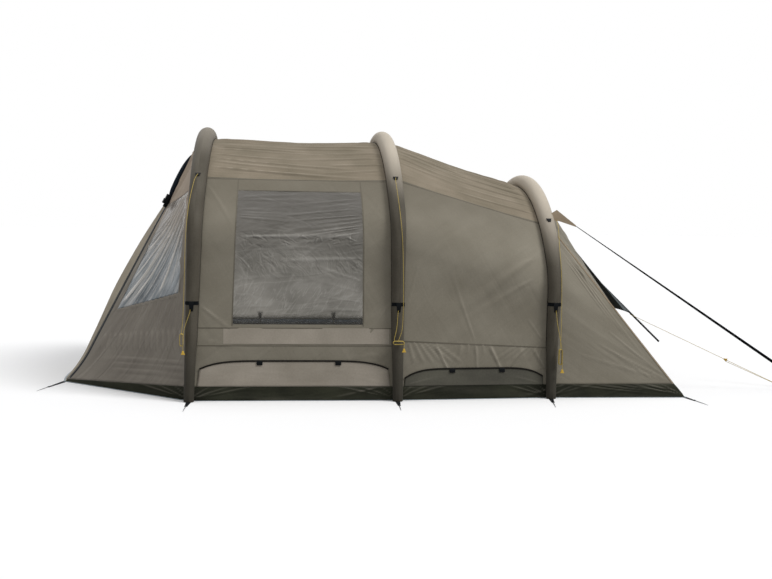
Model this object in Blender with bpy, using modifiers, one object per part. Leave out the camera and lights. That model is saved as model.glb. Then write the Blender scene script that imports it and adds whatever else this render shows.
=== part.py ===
"""An inflatable tent: three air beams in fabric sleeves, a fly sewn from panels, a groundsheet with
peg straps, and a sleeping cabin hung in the rear bay.

Metres, +Z up. The door looks along -X, and the tent's left side, seen out of the door, is -Y.
The origin is on the floor, under the middle of the tent with its corner pegs and hood strut.
"""

import math

import bmesh
import bpy
import numpy as np
from mathutils import Matrix, Vector

# Cloth, clearances and cutters
CLOTH = 0.0012
FILM = 0.0010
WEBBING = 0.0018
SEAM_GAP = 0.0004
ZIP_GAP = 0.0020
OVERRUN = 0.02

# Air beams
TALL_HEIGHT = 2.05
REAR_HEIGHT = 1.71
HALF_WIDTH = 1.50
REAR_HALF_WIDTH = 1.407
FRONT_BEAM_X = -1.425
MIDDLE_BEAM_X = 0.057
REAR_BEAM_X = 1.212
FRONT_BEAM_LEAN = 0.045
REAR_BEAM_LEAN = 0.068
TALL_LEG = 1.10
REAR_LEG = 0.75
VENT_ROW_Z = 0.31
WINDOW_FOOT = 0.59
FILM_FOOT = 0.78
TALL_LEG_STEPS = (VENT_ROW_Z, WINDOW_FOOT, FILM_FOOT)
REAR_SHIN = 0.46
REAR_KNEE = 0.61
REAR_LEG_STEPS = (VENT_ROW_Z, REAR_SHIN, REAR_KNEE)
FOOT_FLARE = 0.07
FOOT_STRAIGHT = 0.04
SHOULDER_RADIUS = 0.42
CROWN_TUBE_RADIUS = 0.066
FOOT_TUBE_RADIUS = 0.036
SLEEVE_WALL = 0.0015
BLADDER_WALL = 0.0015
BLADDER_LIFT = 0.012
SHOULDER_SHARES = (1 / 3, 2 / 3)
ROOF_STEPS = 4

# The window's top, the guy's clip and the roof seam, as shares of the way from shoulder to apex
TALL_ARCH_SHARES = (0.1388, 0.1793, 0.2300)
REAR_ARCH_SHARES = (0.2226, 0.2592, 0.3049)

# Where the fly meets the sleeves: beside them, and behind their feet low down
FLY_DEPTH_SHARE = 0.45
BEHIND_FOOT_Z = 0.16
BESIDE_TUBE_Z = 0.46
FLANK_GAP = 0.0012

# Valves, on the outer side of the right-hand legs
VALVE_Z = 0.26
VALVE_RADIUS = 0.015
VALVE_BORE_RADIUS = 0.009
VALVE_FLANGE_RADIUS = 0.024
VALVE_FLANGE_DEPTH = 0.0025
VALVE_REACH = 0.010
VALVE_HOLE_GAP = 0.0015
CAP_RADIUS = 0.020
CAP_EDGE = 0.002
CAP_DEPTH = 0.010
CAP_PLUG_LENGTH = 0.008

# Webbing bands, tabs and clips on the near legs
BAND_Z = 0.695
BAND_WIDTH = 0.025
TAB_WIDTH = 0.030
TAB_DROP = 0.045
CLIP_LENGTH = 0.034
CLIP_WIDTH = 0.024
CLIP_DEPTH = 0.006
# The storm tab's outline: each corner's reach behind the beam's centre line and height over it
STORM_TAB = (
    (0.030, 0.006),
    (0.108, -0.004),
    (0.238, -0.045),
    (0.238, -0.033),
    (0.082, 0.085),
    (0.025, 0.050),
)

# Groundsheet, peg straps and pegs
BASE = 0.003
EDGE_LEDGE = 0.010
STRAP_OVERLAP = 0.05
FOOT_STRAP_TURN_SHARES = (-0.03, -0.06, -0.18)
FRONT_STRAP_TURN_SHARE = -0.24
REAR_STRAP_TURN_SHARE = 0.09
FOOT_STRAP_WIDTH = 0.030
STRAP_END_WIDTH = 0.018
SLOT_WIDTH = 0.008
SLOT_LENGTH = 0.012
END_BAR = 0.010
FOOT_STRAP_LENGTH = 0.20
CORNER_STRAP_LENGTH = 0.30
REAR_STRAP_LENGTH = 0.16
PEG_RADIUS = 0.0025
PEG_LENGTH = 0.19
PEG_TAPER_SHARE = 0.9
PEG_POINT_SHARE = 0.35
ANCHOR_HOOK_SHARES = ((0.8, 1.6), (0.6, 1.9), (0.25, 1.9), (0, 1.6))
HOOK_END_LIFT = 0.0008
HOOK_BACK = 0.0035

# Front: zip lines, door and wings
CORNER_X = -2.4565
CORNER_Y = 0.52
KNEE_X = -2.2725
KNEE_Z = 0.245
ZIP_TOP_X = -1.4625
ZIP_TOP_Y = 0.50
ZIP_TOP_Z = 1.805
DOOR_TOP_BULGE = 0.015
DOOR_MIDDLE_BULGE = 0.075
DOOR_FOOT_BULGE = 0.045
WING_SAG = 0.030
WING_ZIP_HEIGHTS = (0.245, 0.42, 0.56)
WING_HEAD_SHARE = 1.2
WING_HEAD_Y = ZIP_TOP_Y * WING_HEAD_SHARE
WING_RULING_SHARES = (0, 0.10, 0.37, 0.64, 0.90, 1)
DOOR_ROWS = 9
DOOR_COLUMNS = 8

# Side walls, windows and vents
MUDWALL_TOP = 0.105
FRONT_MUDWALL_TOP = 0.020
WALL_SAG = 0.012
ROOF_SAG = 0.015
WINDOW_SHARES = (0.175, 0.85)
VENT_TOP = 0.284
VENT_END = 0.226
REAR_VENT_TOP = 0.225
REAR_VENT_END = 0.160
VENT_COLUMNS = 8
VENT_CORNER_POWER = 6
VENT_SIDE_GAP = 0.008
VENT_FACE_GAP = 0.0010
CURTAIN_RADIUS = 0.020
CURTAIN_DROP = 0.022

# Rear end
REAR_CORNER_X = 2.2545
REAR_CORNER_Y = 1.381
REAR_EDGE_BOW = 0.0755
REAR_SIDE_COLUMNS = 3

# Rear vent hood and its strut
HOOD_ROOT_Z = 1.14
HOOD_ROOT_HALF_WIDTH = 0.32
HOOD_EDGE_HALF_WIDTH = 0.25
HOOD_CURVE_POWER = 1.5
HOOD_SWEEP_SHARE = 0.14
HOOD_LENGTH = 0.905
HOOD_PITCH = math.radians(43.2)
HOOD_SIDE_PITCH = math.radians(48.0)
HOOD_LIFT = 0.0008
STRUT_RADIUS = 0.008
STRUT_EXTRA = 0.37
STRUT_START_SHARE = 0.10
STRUT_PROUD_SHARE = 0.4

# Sleeping cabin: place along X, half width and height of each section
CABIN_SECTIONS = (
    (0.17, 1.34, 1.78),
    (0.75, 1.31, 1.60),
    (1.15, 1.25, 1.44),
    (1.75, 1.16, 0.70),
    (2.08, 1.04, 0.27),
)
CABIN_POWER = 3.0
CABIN_DOOR_WIDTH_SHARE = 0.42
CABIN_DOOR_HEIGHT_SHARE = 0.82
CABIN_DOOR_SILL = 0.10
CABIN_SIDES = 14
CABIN_FLOOR_SIDES = 4
CABIN_CLOTH = 0.0010

# Cords and what is on them
CORD_RADIUS = 0.00175
HANK_LOOPS = 6
HANK_END_RADIUS = 0.0115
HANK_TAIL = 0.045
HANK_PITCH = 0.0044
HANK_END_POINTS = 5
RUNNER_LENGTH = 0.026
RUNNER_WIDTH = 0.030
RUNNER_NECK_SHARE = 0.35
RUNNER_NECK = 0.014
RUNNER_DEPTH = 0.010
STORM_STRAP_WIDTH = 0.025
STORM_STRAP_TWIST = math.radians(62)
STORM_ANCHOR = (3.42, -1.06)
VENT_GUY_ANCHOR = (3.236, -0.86)
VENT_RUNNER_SHARE = 0.66
VENT_LINE_SHARES = (0, 1 / 4, 1 / 2, 3 / 4)
VENT_BACK_SHARES = (3 / 10, 7 / 10, 1)
EYE_SIDES = 4
VENT_GUY_EYE = 0.0047
VENT_GUY_DROP = 0.012
ANCHOR_LIFT = 0.022
STORM_TWIST_END_SHARE = 0.93

# Zip pullers, beside the zip lines near their tops
PULLER_Z = 1.43
PULLER_LENGTH = 0.075
PULLER_WIDTH = 0.024
PULLER_DEPTH = 0.008
PULLER_LIFT = 0.0006

TENT = bpy.data.collections.new("inflatable_tent")
CUTTERS = bpy.data.collections.new("cutters")


def clear_scene():
    for old in list(bpy.data.objects):
        bpy.data.objects.remove(old, do_unlink=True)
    for collection in (TENT, CUTTERS):
        bpy.context.scene.collection.children.link(collection)


def material(name, red, green, blue, roughness, metallic=0.0, alpha=1.0):
    made = bpy.data.materials.new(name)
    made.use_nodes = True
    shader = made.node_tree.nodes["Principled BSDF"]
    shader.inputs["Base Color"].default_value = (red, green, blue, 1.0)
    shader.inputs["Roughness"].default_value = roughness
    shader.inputs["Metallic"].default_value = metallic
    shader.inputs["Alpha"].default_value = alpha
    return made


def new_object(name, mesh, finish=None, cutter=False):
    made = bpy.data.objects.new(name, mesh)
    (CUTTERS if cutter else TENT).objects.link(made)
    if cutter:
        made.hide_render = True
        made.display_type = "WIRE"
    if finish:
        mesh.materials.clear()
        mesh.materials.append(finish)
    return made


def mesh_object(name, shape, finish=None, cutter=False, smooth=True):
    """A mesh object from a bmesh, which is freed."""
    bmesh.ops.recalc_face_normals(shape, faces=shape.faces)
    mesh = bpy.data.meshes.new(name)
    shape.to_mesh(mesh)
    shape.free()
    if smooth:
        mesh.shade_smooth()
        mesh.set_sharp_from_angle(angle=math.radians(35))
    return new_object(name, mesh, finish, cutter)


def set_origin(piece, place):
    """Moves a piece's origin onto its joint's axis, and leaves its shape where it is."""
    piece.data.transform(Matrix.Translation(-Vector(place)))
    piece.location = place


def boolean(target, other, operation):
    cut = target.modifiers.new(operation.lower() + "_" + other.name, "BOOLEAN")
    cut.operation = operation
    cut.object = other
    cut.solver = "EXACT"


def loft(shape, rows, around=False, skip=()):
    """Quads between rows of points. Cells in skip, as (row, column), are left open."""
    grid = [[shape.verts.new(point) for point in row] for row in rows]
    columns = len(rows[0])
    for i in range(len(rows) - 1):
        for j in range(columns if around else columns - 1):
            if (i, j) in skip:
                continue
            k = (j + 1) % columns
            shape.faces.new((grid[i][j], grid[i][k], grid[i + 1][k], grid[i + 1][j]))
    return grid


def sheet(name, rows, finish, thickness=CLOTH, skip=()):
    """A sewn panel: a surface through the rows, given its thickness to both sides."""
    shape = bmesh.new()
    loft(shape, rows, skip=skip)
    bmesh.ops.remove_doubles(shape, verts=shape.verts, dist=SEAM_GAP / 8)
    bmesh.ops.dissolve_degenerate(shape, edges=shape.edges, dist=SEAM_GAP / 8)
    loose = [vert for vert in shape.verts if not vert.link_faces]
    bmesh.ops.delete(shape, geom=loose, context="VERTS")
    panel = mesh_object(name, shape, finish)
    thick = panel.modifiers.new("cloth", "SOLIDIFY")
    thick.thickness = thickness
    thick.offset = 0.0
    thick.use_even_offset = True
    return panel


def tube(name, points, radius, finish=None, shares=None, resolution=2, cutter=False, to_mesh=False):
    """A tube through the points, as a curve or as its welded mesh. shares taper its radius."""
    curve = bpy.data.curves.new(name, "CURVE")
    curve.dimensions = "3D"
    spline = curve.splines.new("POLY")
    spline.points.add(len(points) - 1)
    for i, point in enumerate(points):
        spline.points[i].co = (*point, 1.0)
        spline.points[i].radius = shares[i] if shares else 1.0
    curve.bevel_depth = radius
    curve.bevel_resolution = resolution
    curve.use_fill_caps = True
    made = new_object(name, curve, None if to_mesh else finish, cutter)
    if not to_mesh:
        return made
    bpy.context.view_layer.update()
    mesh = bpy.data.meshes.new_from_object(made.evaluated_get(bpy.context.evaluated_depsgraph_get()))
    bpy.data.objects.remove(made, do_unlink=True)
    shape = bmesh.new()
    shape.from_mesh(mesh)
    bpy.data.meshes.remove(mesh)
    bmesh.ops.remove_doubles(shape, verts=shape.verts, dist=radius / 1000)
    return mesh_object(name, shape, finish, cutter)


def smooth_route(points, steps):
    """A smooth curve through the points of a cord's route, with steps parts between each two."""
    route = [Vector(point) for point in points]
    ends = [route[0] * 2 - route[1], *route, route[-1] * 2 - route[-2]]
    made = []
    for i in range(1, len(ends) - 2):
        before, start, end, after = ends[i - 1 : i + 3]
        for step in range(steps):
            t = step / steps
            made.append(
                (
                    start * 2
                    + (end - before) * t
                    + (before * 2 - start * 5 + end * 4 - after) * t**2
                    + (start * 3 - before - end * 3 + after) * t**3
                )
                / 2
            )
    return made + [route[-1]]


def block(name, size, place, axes=None, finish=None, cutter=False, bevel=0.0):
    """A box of that size, centred at place, with its own axes as columns of a matrix."""
    shape = bmesh.new()
    bmesh.ops.create_cube(shape, size=1.0, matrix=Matrix.Diagonal((*size, 1.0)))
    if bevel:
        bmesh.ops.bevel(shape, geom=shape.edges[:], offset=bevel, segments=1, affect="EDGES")
    turn = axes.to_4x4() if axes else Matrix.Identity(4)
    bmesh.ops.transform(shape, matrix=Matrix.Translation(place) @ turn, verts=shape.verts)
    return mesh_object(name, shape, finish, cutter, smooth=False)


def frame_of(forward, up):
    """A matrix whose columns are forward, sideways and the direction nearest to up."""
    along = Vector(forward).normalized()
    side = Vector(up).cross(along).normalized()
    return Matrix((along, side, along.cross(side))).transposed()


def ease(value, low, high):
    share = min(max((value - low) / (high - low), 0.0), 1.0)
    return share * share * (3 - 2 * share)


class Beam:
    """One air beam's centre line: two legs that flare at the foot, tight shoulders, a wide crown."""

    def __init__(self, name, foot_x, lean, height, half_width, leg, leg_steps, arch_shares):
        self.name = name
        self.foot_x = foot_x
        self.lean = lean
        self.top = height - CROWN_TUBE_RADIUS
        self.leg = leg
        self.leg_steps = leg_steps
        self.leg_y = half_width - FOOT_FLARE
        self.inset = self.leg_y - SHOULDER_RADIUS
        rise = self.top - leg
        spare = self.inset**2 + rise**2 - SHOULDER_RADIUS**2
        self.crown_radius = spare / (2 * (rise - SHOULDER_RADIUS))
        self.crown_z = self.top - self.crown_radius
        self.shoulder_angle = math.atan2(leg - self.crown_z, self.inset)
        left = math.pi / 2 - self.shoulder_angle
        angles = [self.shoulder_angle + share * left for share in arch_shares]
        self.window_top, self.clip_angle, self.seam_angle = angles

    def x(self, z):
        return self.foot_x + self.lean * max(z - FOOT_STRAIGHT, 0.0) / (self.top - FOOT_STRAIGHT)

    def radius(self, z):
        return FOOT_TUBE_RADIUS + (CROWN_TUBE_RADIUS - FOOT_TUBE_RADIUS) * z / self.top

    def on_leg(self, z):
        """(y, z, outward y, outward z) of the centre line at a height on the leg."""
        length = self.leg - FOOT_STRAIGHT
        below = 1 - max(z - FOOT_STRAIGHT, 0.0) / length
        slope = 2 * FOOT_FLARE * below / length if z > FOOT_STRAIGHT else 0.0
        long = math.hypot(1, slope)
        return self.leg_y + FOOT_FLARE * below**2, z, 1 / long, slope / long

    def at(self, angle):
        """The same at an angle of the arch: 0 at the top of the leg, a quarter turn at the apex."""
        out_y, out_z = math.cos(angle), math.sin(angle)
        if angle <= self.shoulder_angle:
            centre_y, centre_z, radius = self.inset, self.leg, SHOULDER_RADIUS
        else:
            centre_y, centre_z, radius = 0.0, self.crown_z, self.crown_radius
        return centre_y + radius * out_y, centre_z + radius * out_z, out_y, out_z

    def shoulder(self):
        """Stations from the top of the leg to just under the roof seam."""
        angles = [0.0] + [share * self.shoulder_angle for share in (*SHOULDER_SHARES, 1)]
        return [self.at(angle) for angle in (*angles, self.window_top)]

    def roof(self):
        """Stations from the roof seam to the apex."""
        step = (math.pi / 2 - self.seam_angle) / ROOF_STEPS
        return [self.at(self.seam_angle + step * i) for i in range(ROOF_STEPS + 1)]

    def centre_line(self, foot_z):
        legs = [self.on_leg(z) for z in (foot_z, FOOT_STRAIGHT, *self.leg_steps)]
        half = legs + self.shoulder() + self.roof()
        points = [Vector((self.x(z), -y, z)) for y, z, _, _ in half]
        return points + [Vector((point.x, -point.y, point.z)) for point in reversed(points[:-1])]

    def surface(self, station, out, across=0.0, hand=-1):
        """A point out from the centre line at a station, and across it along X."""
        y, z, out_y, out_z = station
        return Vector((self.x(z) + across, hand * (y + out_y * out), z + out_z * out))


TALL_SHAPE = (TALL_HEIGHT, HALF_WIDTH, TALL_LEG, TALL_LEG_STEPS, TALL_ARCH_SHARES)
REAR_SHAPE = (REAR_HEIGHT, REAR_HALF_WIDTH, REAR_LEG, REAR_LEG_STEPS, REAR_ARCH_SHARES)
FRONT = Beam("front", FRONT_BEAM_X, FRONT_BEAM_LEAN, *TALL_SHAPE)
MIDDLE = Beam("middle", MIDDLE_BEAM_X, 0.0, *TALL_SHAPE)
REAR = Beam("rear", REAR_BEAM_X, REAR_BEAM_LEAN, *REAR_SHAPE)
BEAMS = (FRONT, MIDDLE, REAR)
FLOOR = BASE + SEAM_GAP
HEM = FLOOR + CLOTH / 2
HANDS = {"left": -1, "right": 1}


def fly_edge(beam, station, facing, hand):
    """Where the fly meets a sleeve: on its front flank (facing -1) or its rear flank (facing +1)."""
    z = station[1]
    radius = beam.radius(z)
    behind = radius + CLOTH / 2 + SEAM_GAP
    depth = behind + (FLY_DEPTH_SHARE * radius - behind) * ease(z, BEHIND_FOOT_Z, BESIDE_TUBE_Z)
    face = depth - CLOTH / 2 - SEAM_GAP
    reach = math.sqrt(max(radius**2 - face**2, 0.0)) + FLANK_GAP
    return beam.surface(station, -depth, facing * reach, hand)


def tube_shares(beam, points, shrink):
    return [(beam.radius(point.z) - shrink) / CROWN_TUBE_RADIUS for point in points]


def beam_tube(name, beam, foot_z, shrink, cutter=False, finish=None, past=0.0):
    """The beam's centre line as a tapered tube, shrunk by a wall, and run past both feet."""
    points = beam.centre_line(foot_z)
    shares = tube_shares(beam, points, shrink)
    if past:
        down = Vector((0, 0, past))
        points = [points[0] - down, *points, points[-1] - down]
        shares = [shares[0], *shares, shares[-1]]
    return tube(name, points, CROWN_TUBE_RADIUS, finish, shares, cutter=cutter, to_mesh=True)


def turned(name, profile, place, axis, cutter=True, finish=None):
    """A turned shape from (radius, depth) pairs, outer side first, with depth along axis."""
    mesh = bpy.data.meshes.new(name)
    mesh.from_pydata([(r, 0, d) for r, d in profile], [(i, i + 1) for i in range(len(profile) - 1)], [])
    made = new_object(name, mesh, finish, cutter)
    made.location = place
    made.rotation_euler = Vector(axis).to_track_quat("Z", "Y").to_euler()
    screw = made.modifiers.new("turn", "SCREW")
    screw.axis = "Z"
    screw.steps = screw.render_steps = 12
    screw.use_merge_vertices = True
    screw.merge_threshold = 0.0001
    return made


def valve_seat(beam):
    """The valve's place on the air tube's outer side, on the right-hand leg, and its direction."""
    station = beam.on_leg(VALVE_Z)
    wall = beam.radius(VALVE_Z)
    return beam.surface(station, wall, hand=1), Vector((0, station[2], station[3]))


def make_beam(beam, finishes):
    seat, out = valve_seat(beam)
    sleeve = beam_tube("beam_sleeve_" + beam.name, beam, FLOOR, 0.0, finish=finishes["sleeve"])
    for piece in sleeve_fittings(beam):
        boolean(sleeve, piece, "UNION")
    bore = beam_tube("sleeve_bore_" + beam.name, beam, FLOOR, SLEEVE_WALL, cutter=True, past=OVERRUN)
    boolean(sleeve, bore, "DIFFERENCE")
    hole = VALVE_FLANGE_RADIUS + VALVE_HOLE_GAP
    depth = OVERRUN
    window = turned(
        "valve_window_" + beam.name, ((0, depth), (hole, depth), (hole, -depth), (0, -depth)), seat, out
    )
    boolean(sleeve, window, "DIFFERENCE")

    shrink = SLEEVE_WALL + SEAM_GAP
    foot = FLOOR + BLADDER_LIFT
    bladder = beam_tube("air_tube_" + beam.name, beam, foot, shrink, finish=finishes["bladder"])
    root = -beam.radius(VALVE_Z) / 2
    body = turned(
        "valve_body_" + beam.name,
        (
            (0, VALVE_REACH),
            (VALVE_RADIUS, VALVE_REACH),
            (VALVE_RADIUS, VALVE_FLANGE_DEPTH),
            (VALVE_FLANGE_RADIUS, VALVE_FLANGE_DEPTH),
            (VALVE_FLANGE_RADIUS, root),
            (0, root),
        ),
        seat,
        out,
    )
    boolean(bladder, body, "UNION")
    inner = shrink + BLADDER_WALL
    cavity = beam_tube("air_space_" + beam.name, beam, foot + BLADDER_WALL, inner, cutter=True)
    boolean(bladder, cavity, "DIFFERENCE")
    bore_end = VALVE_REACH + OVERRUN
    drill = turned(
        "valve_bore_" + beam.name,
        ((0, bore_end), (VALVE_BORE_RADIUS, bore_end), (VALVE_BORE_RADIUS, root), (0, root)),
        seat,
        out,
    )
    boolean(bladder, drill, "DIFFERENCE")

    plug = VALVE_BORE_RADIUS - SEAM_GAP
    under = VALVE_REACH + SEAM_GAP
    cap = turned(
        "valve_cap_" + beam.name,
        (
            (0, under + CAP_DEPTH),
            (CAP_RADIUS - CAP_EDGE, under + CAP_DEPTH),
            (CAP_RADIUS, under + CAP_DEPTH - CAP_EDGE),
            (CAP_RADIUS, under),
            (plug, under),
            (plug, VALVE_REACH - CAP_PLUG_LENGTH),
            (0, VALVE_REACH - CAP_PLUG_LENGTH),
        ),
        seat,
        out,
        cutter=False,
        finish=finishes["fitting"],
    )
    cap.name = "valve_cap_" + beam.name


def sleeve_fittings(beam):
    """Webbing bands low on both legs, and on the near side the tab, the clip and the storm tab."""
    pieces = []
    for hand in (-1, 1):
        heights = (BAND_Z - BAND_WIDTH / 2, BAND_Z + BAND_WIDTH / 2)
        ends = [beam.surface(beam.on_leg(z), WEBBING, hand=hand) for z in heights]
        band = tube("band_%s_%d" % (beam.name, hand), ends, beam.radius(BAND_Z), cutter=True, to_mesh=True)
        pieces.append(band)
    leg = beam.on_leg(BAND_Z - TAB_DROP / 2)
    out = beam.radius(BAND_Z)
    upright = Matrix.Identity(3)
    pieces.append(
        block(
            "tab_" + beam.name,
            (TAB_WIDTH, WEBBING * 2, TAB_DROP + BAND_WIDTH),
            beam.surface(leg, out),
            upright,
            cutter=True,
        )
    )
    for hand in (-1, 1):
        high = beam.at(beam.clip_angle)
        turn = frame_of((0, hand * -high[3], high[2]), (0, hand * high[2], high[3]))
        pieces.append(
            block(
                "clip_%s_%d" % (beam.name, hand),
                (CLIP_LENGTH, CLIP_WIDTH, CLIP_DEPTH),
                beam.surface(high, beam.radius(high[1]) + CLIP_DEPTH / 4, hand=hand),
                turn,
                cutter=True,
                bevel=CLIP_DEPTH / 5,
            )
        )
    if beam is REAR:
        pieces += [storm_tab(hand) for hand in (-1, 1)]
    return pieces


def storm_tab_tip(hand):
    """The storm tab's tip, behind and outside the rear beam's shoulder."""
    below, above = STORM_TAB[2:4]
    rise = Vector((0, 0, (below[1] + above[1]) / 2))
    return REAR.surface(REAR.at(REAR.seam_angle), 0.0, below[0], hand) + rise


def storm_tab(hand):
    """A gusset tab that runs from the rear beam's flank back to its tip."""
    base = REAR.surface(REAR.at(REAR.seam_angle), 0.0, 0.0, hand)
    shape = bmesh.new()
    rows = [[base + Vector((x, side * WEBBING / 2, z)) for x, z in STORM_TAB] for side in (-1, 1)]
    grid = loft(shape, rows, around=True)
    for row in grid:
        shape.faces.new(row)
    return mesh_object("storm_tab_%d" % hand, shape, cutter=True, smooth=False)


def mix(start, end, share):
    return start + (end - start) * share


def wall_stations(beam):
    """Stations of a side wall: at the mudwall, up the leg and round the shoulder to the roof seam."""
    low = [beam.on_leg(z) for z in (MUDWALL_TOP + SEAM_GAP, *beam.leg_steps)]
    under_seam = beam.at(beam.seam_angle - SEAM_GAP / beam.crown_radius)
    return low + beam.shoulder() + [under_seam]


def bay_point(first, second, stations, share, hand, sag=0.0, out=0.0):
    """A point of the fly between two beams, at a share of the way from the first to the second."""
    start = fly_edge(first, stations[0], 1, hand)
    end = fly_edge(second, stations[1], -1, hand)
    across = [mix(stations[0][i], stations[1][i], share) for i in (2, 3)]
    normal = Vector((0, hand * across[0], across[1])).normalized()
    return mix(start, end, share) + normal * (out - sag * math.sin(math.pi * share))


def wall_row(first, second, index, shares, hand, out=0.0):
    stations = (wall_stations(first)[index], wall_stations(second)[index])
    low, high = first.leg_steps[0], wall_stations(first)[-1][1]
    rise = min(max((stations[0][1] - low) / (high - low), 0.0), 1.0)
    sag = WALL_SAG * math.sin(math.pi * rise)
    return [bay_point(first, second, stations, share, hand, sag, out) for share in shares]


WALL_ROWS = len(wall_stations(FRONT))
WINDOW_ROWS = (2, WALL_ROWS - 2)


def front_shares():
    start, end = WINDOW_SHARES
    return (0, start, mix(start, end, 0.25), mix(start, end, 0.5), mix(start, end, 0.75), end, 1)


def make_walls(finishes):
    shares = front_shares()
    window = [(row, column) for row in range(*WINDOW_ROWS) for column in range(1, len(shares) - 2)]
    rear_shares = [i / 6 for i in range(7)]
    for side, hand in HANDS.items():
        rows = [wall_row(FRONT, MIDDLE, i, shares, hand) for i in range(WALL_ROWS)]
        sheet("wall_front_" + side, rows, finishes["wall"], skip=window)
        rows = [wall_row(MIDDLE, REAR, i, rear_shares, hand) for i in range(WALL_ROWS)]
        sheet("wall_rear_" + side, rows, finishes["wall"])
        make_window(side, hand, finishes)
        make_vent(side, hand, FRONT, MIDDLE, VENT_TOP, VENT_END, "low_vent_front_", finishes)
        make_vent(side, hand, MIDDLE, REAR, REAR_VENT_TOP, REAR_VENT_END, "low_vent_rear_", finishes)
        make_curtain(side, hand, finishes)


def shrink_grid(rows, gap):
    """The same rows with the outer ones drawn in by a gap, so that the piece fits its opening."""
    rows = [[Vector(point) for point in row] for row in rows]
    for ends in ((0, 1), (-1, -2)):
        outer, inner = rows[ends[0]], rows[ends[1]]
        rows[ends[0]] = [point + (near - point).normalized() * gap for point, near in zip(outer, inner)]
    for row in rows:
        for at, near in ((0, 1), (-1, -2)):
            row[at] = row[at] + (row[near] - row[at]).normalized() * gap
    return rows


def make_window(side, hand, finishes):
    shares = front_shares()[1:-1]
    rows = [wall_row(FRONT, MIDDLE, i, shares, hand) for i in range(WINDOW_ROWS[0], WINDOW_ROWS[1] + 1)]
    sheet("side_window_" + side, shrink_grid(rows, SEAM_GAP), finishes["film"], FILM)


def make_vent(side, hand, first, second, top, end, name, finishes):
    """A flap outside the foot of a wall, hinged along its lower edge at the mudwall."""
    out = CLOTH + VENT_FACE_GAP
    long = second.foot_x - first.foot_x
    margins = [(beam.radius(VENT_ROW_Z) + VENT_SIDE_GAP) / long for beam in (first, second)]
    shares = [mix(margins[0], 1 - margins[1], i / VENT_COLUMNS) for i in range(VENT_COLUMNS + 1)]
    foot, head = (wall_row(first, second, i, shares, hand, out) for i in (0, 1))
    rows = []
    for rise in (0, 0.5, 1):
        row = []
        for i, share in enumerate(shares):
            way = (share - shares[0]) / (shares[-1] - shares[0])
            middle = 1 - abs(2 * way - 1) ** VENT_CORNER_POWER
            high = (mix(end, top, middle) - foot[i].z) / (head[i].z - foot[i].z)
            row.append(mix(foot[i], head[i], high * rise))
        rows.append(row)
    flap = sheet(name + side, rows, finishes["vent"])
    set_origin(flap, mix(rows[0][0], rows[0][-1], 0.5))


def make_curtain(side, hand, finishes):
    """The rolled curtain under the window, inside."""
    low = WINDOW_FOOT - CURTAIN_DROP
    inward = -(CURTAIN_RADIUS + CLOTH / 2 + SEAM_GAP) - WALL_SAG * math.sin(
        math.pi * (WINDOW_FOOT - VENT_ROW_Z) / (wall_stations(FRONT)[-1][1] - VENT_ROW_Z)
    )
    stations = (FRONT.on_leg(low), MIDDLE.on_leg(low))
    shares = front_shares()[1:-1]
    points = [bay_point(FRONT, MIDDLE, stations, share, hand, out=inward) for share in shares]
    tube("curtain_roll_" + side, points, CURTAIN_RADIUS, finishes["curtain"])


def roof_stations(beam):
    over_seam = beam.at(beam.seam_angle + SEAM_GAP / beam.crown_radius)
    return [over_seam, *beam.roof()[1:]]


def make_roof(name, first, second, finish):
    """A roof panel between two beams, from seam to seam over the ridge."""
    shares = [i / 6 for i in range(7)]
    pairs = list(zip(roof_stations(first), roof_stations(second)))
    rows = []
    for hand in (-1, 1):
        half = [[bay_point(first, second, pair, share, hand, ROOF_SAG) for share in shares] for pair in pairs]
        rows += half if hand < 0 else half[-2::-1]
    sheet(name, rows, finish)


def zip_point(z, hand):
    """A point of the zip line, which runs straight down from the top and flares out at its foot."""
    if z >= KNEE_Z:
        rise = (z - KNEE_Z) / (ZIP_TOP_Z - KNEE_Z)
        return Vector((mix(KNEE_X, ZIP_TOP_X, rise), hand * mix(CORNER_Y, ZIP_TOP_Y, rise), z))
    rise = z / KNEE_Z
    slope = (ZIP_TOP_X - KNEE_X) / (ZIP_TOP_Z - KNEE_Z) * KNEE_Z
    pull = KNEE_X - CORNER_X - slope
    return Vector((KNEE_X - slope * (1 - rise) - pull * (1 - rise) ** 2, hand * CORNER_Y, z))


def wing_levels():
    """Stations of a wing on the front beam, the one over the zip's top, and each one's zip height."""
    stations = [FRONT.on_leg(z) for z in FRONT.leg_steps] + FRONT.shoulder() + FRONT.roof()
    corner = next(i for i, station in enumerate(stations) if station[0] < WING_HEAD_Y)
    low, full = (fly_edge(FRONT, stations[i], -1, 1).z for i in (len(WING_ZIP_HEIGHTS) - 1, corner))
    levels = list(WING_ZIP_HEIGHTS)
    for station in stations[len(WING_ZIP_HEIGHTS) :]:
        rise = min((fly_edge(FRONT, station, -1, 1).z - low) / (full - low), 1.0)
        levels.append(mix(WING_ZIP_HEIGHTS[-1], ZIP_TOP_Z, rise))
    return stations, corner, levels


def wing_rows(hand):
    stations, corner, levels = wing_levels()
    top = len(stations) - 1
    rows = []
    low_flank = FRONT.on_leg(MUDWALL_TOP + SEAM_GAP)
    start, end = fly_edge(FRONT, low_flank, -1, hand), zip_point(FRONT_MUDWALL_TOP + SEAM_GAP, hand)
    rows.append([mix(start, end, share) for share in WING_RULING_SHARES])
    for i, station in enumerate(stations):
        start = fly_edge(FRONT, station, -1, hand)
        if i <= corner:
            end = zip_point(levels[i], hand)
        else:
            across = (top - i) / (top - corner)
            end = Vector((ZIP_TOP_X, hand * (ZIP_TOP_Y * across), ZIP_TOP_Z))
        if i == top:
            start.y = end.y = hand * SEAM_GAP
        rise = min(i / corner, 1.0)
        inward = Vector((1, -hand, 0)).normalized() * (WING_SAG * math.sin(math.pi * rise))
        rows.append(
            [mix(start, end, share) + inward * math.sin(math.pi * share) for share in WING_RULING_SHARES]
        )
    return rows


WING_FILM_ROWS = (3, 8)


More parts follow.
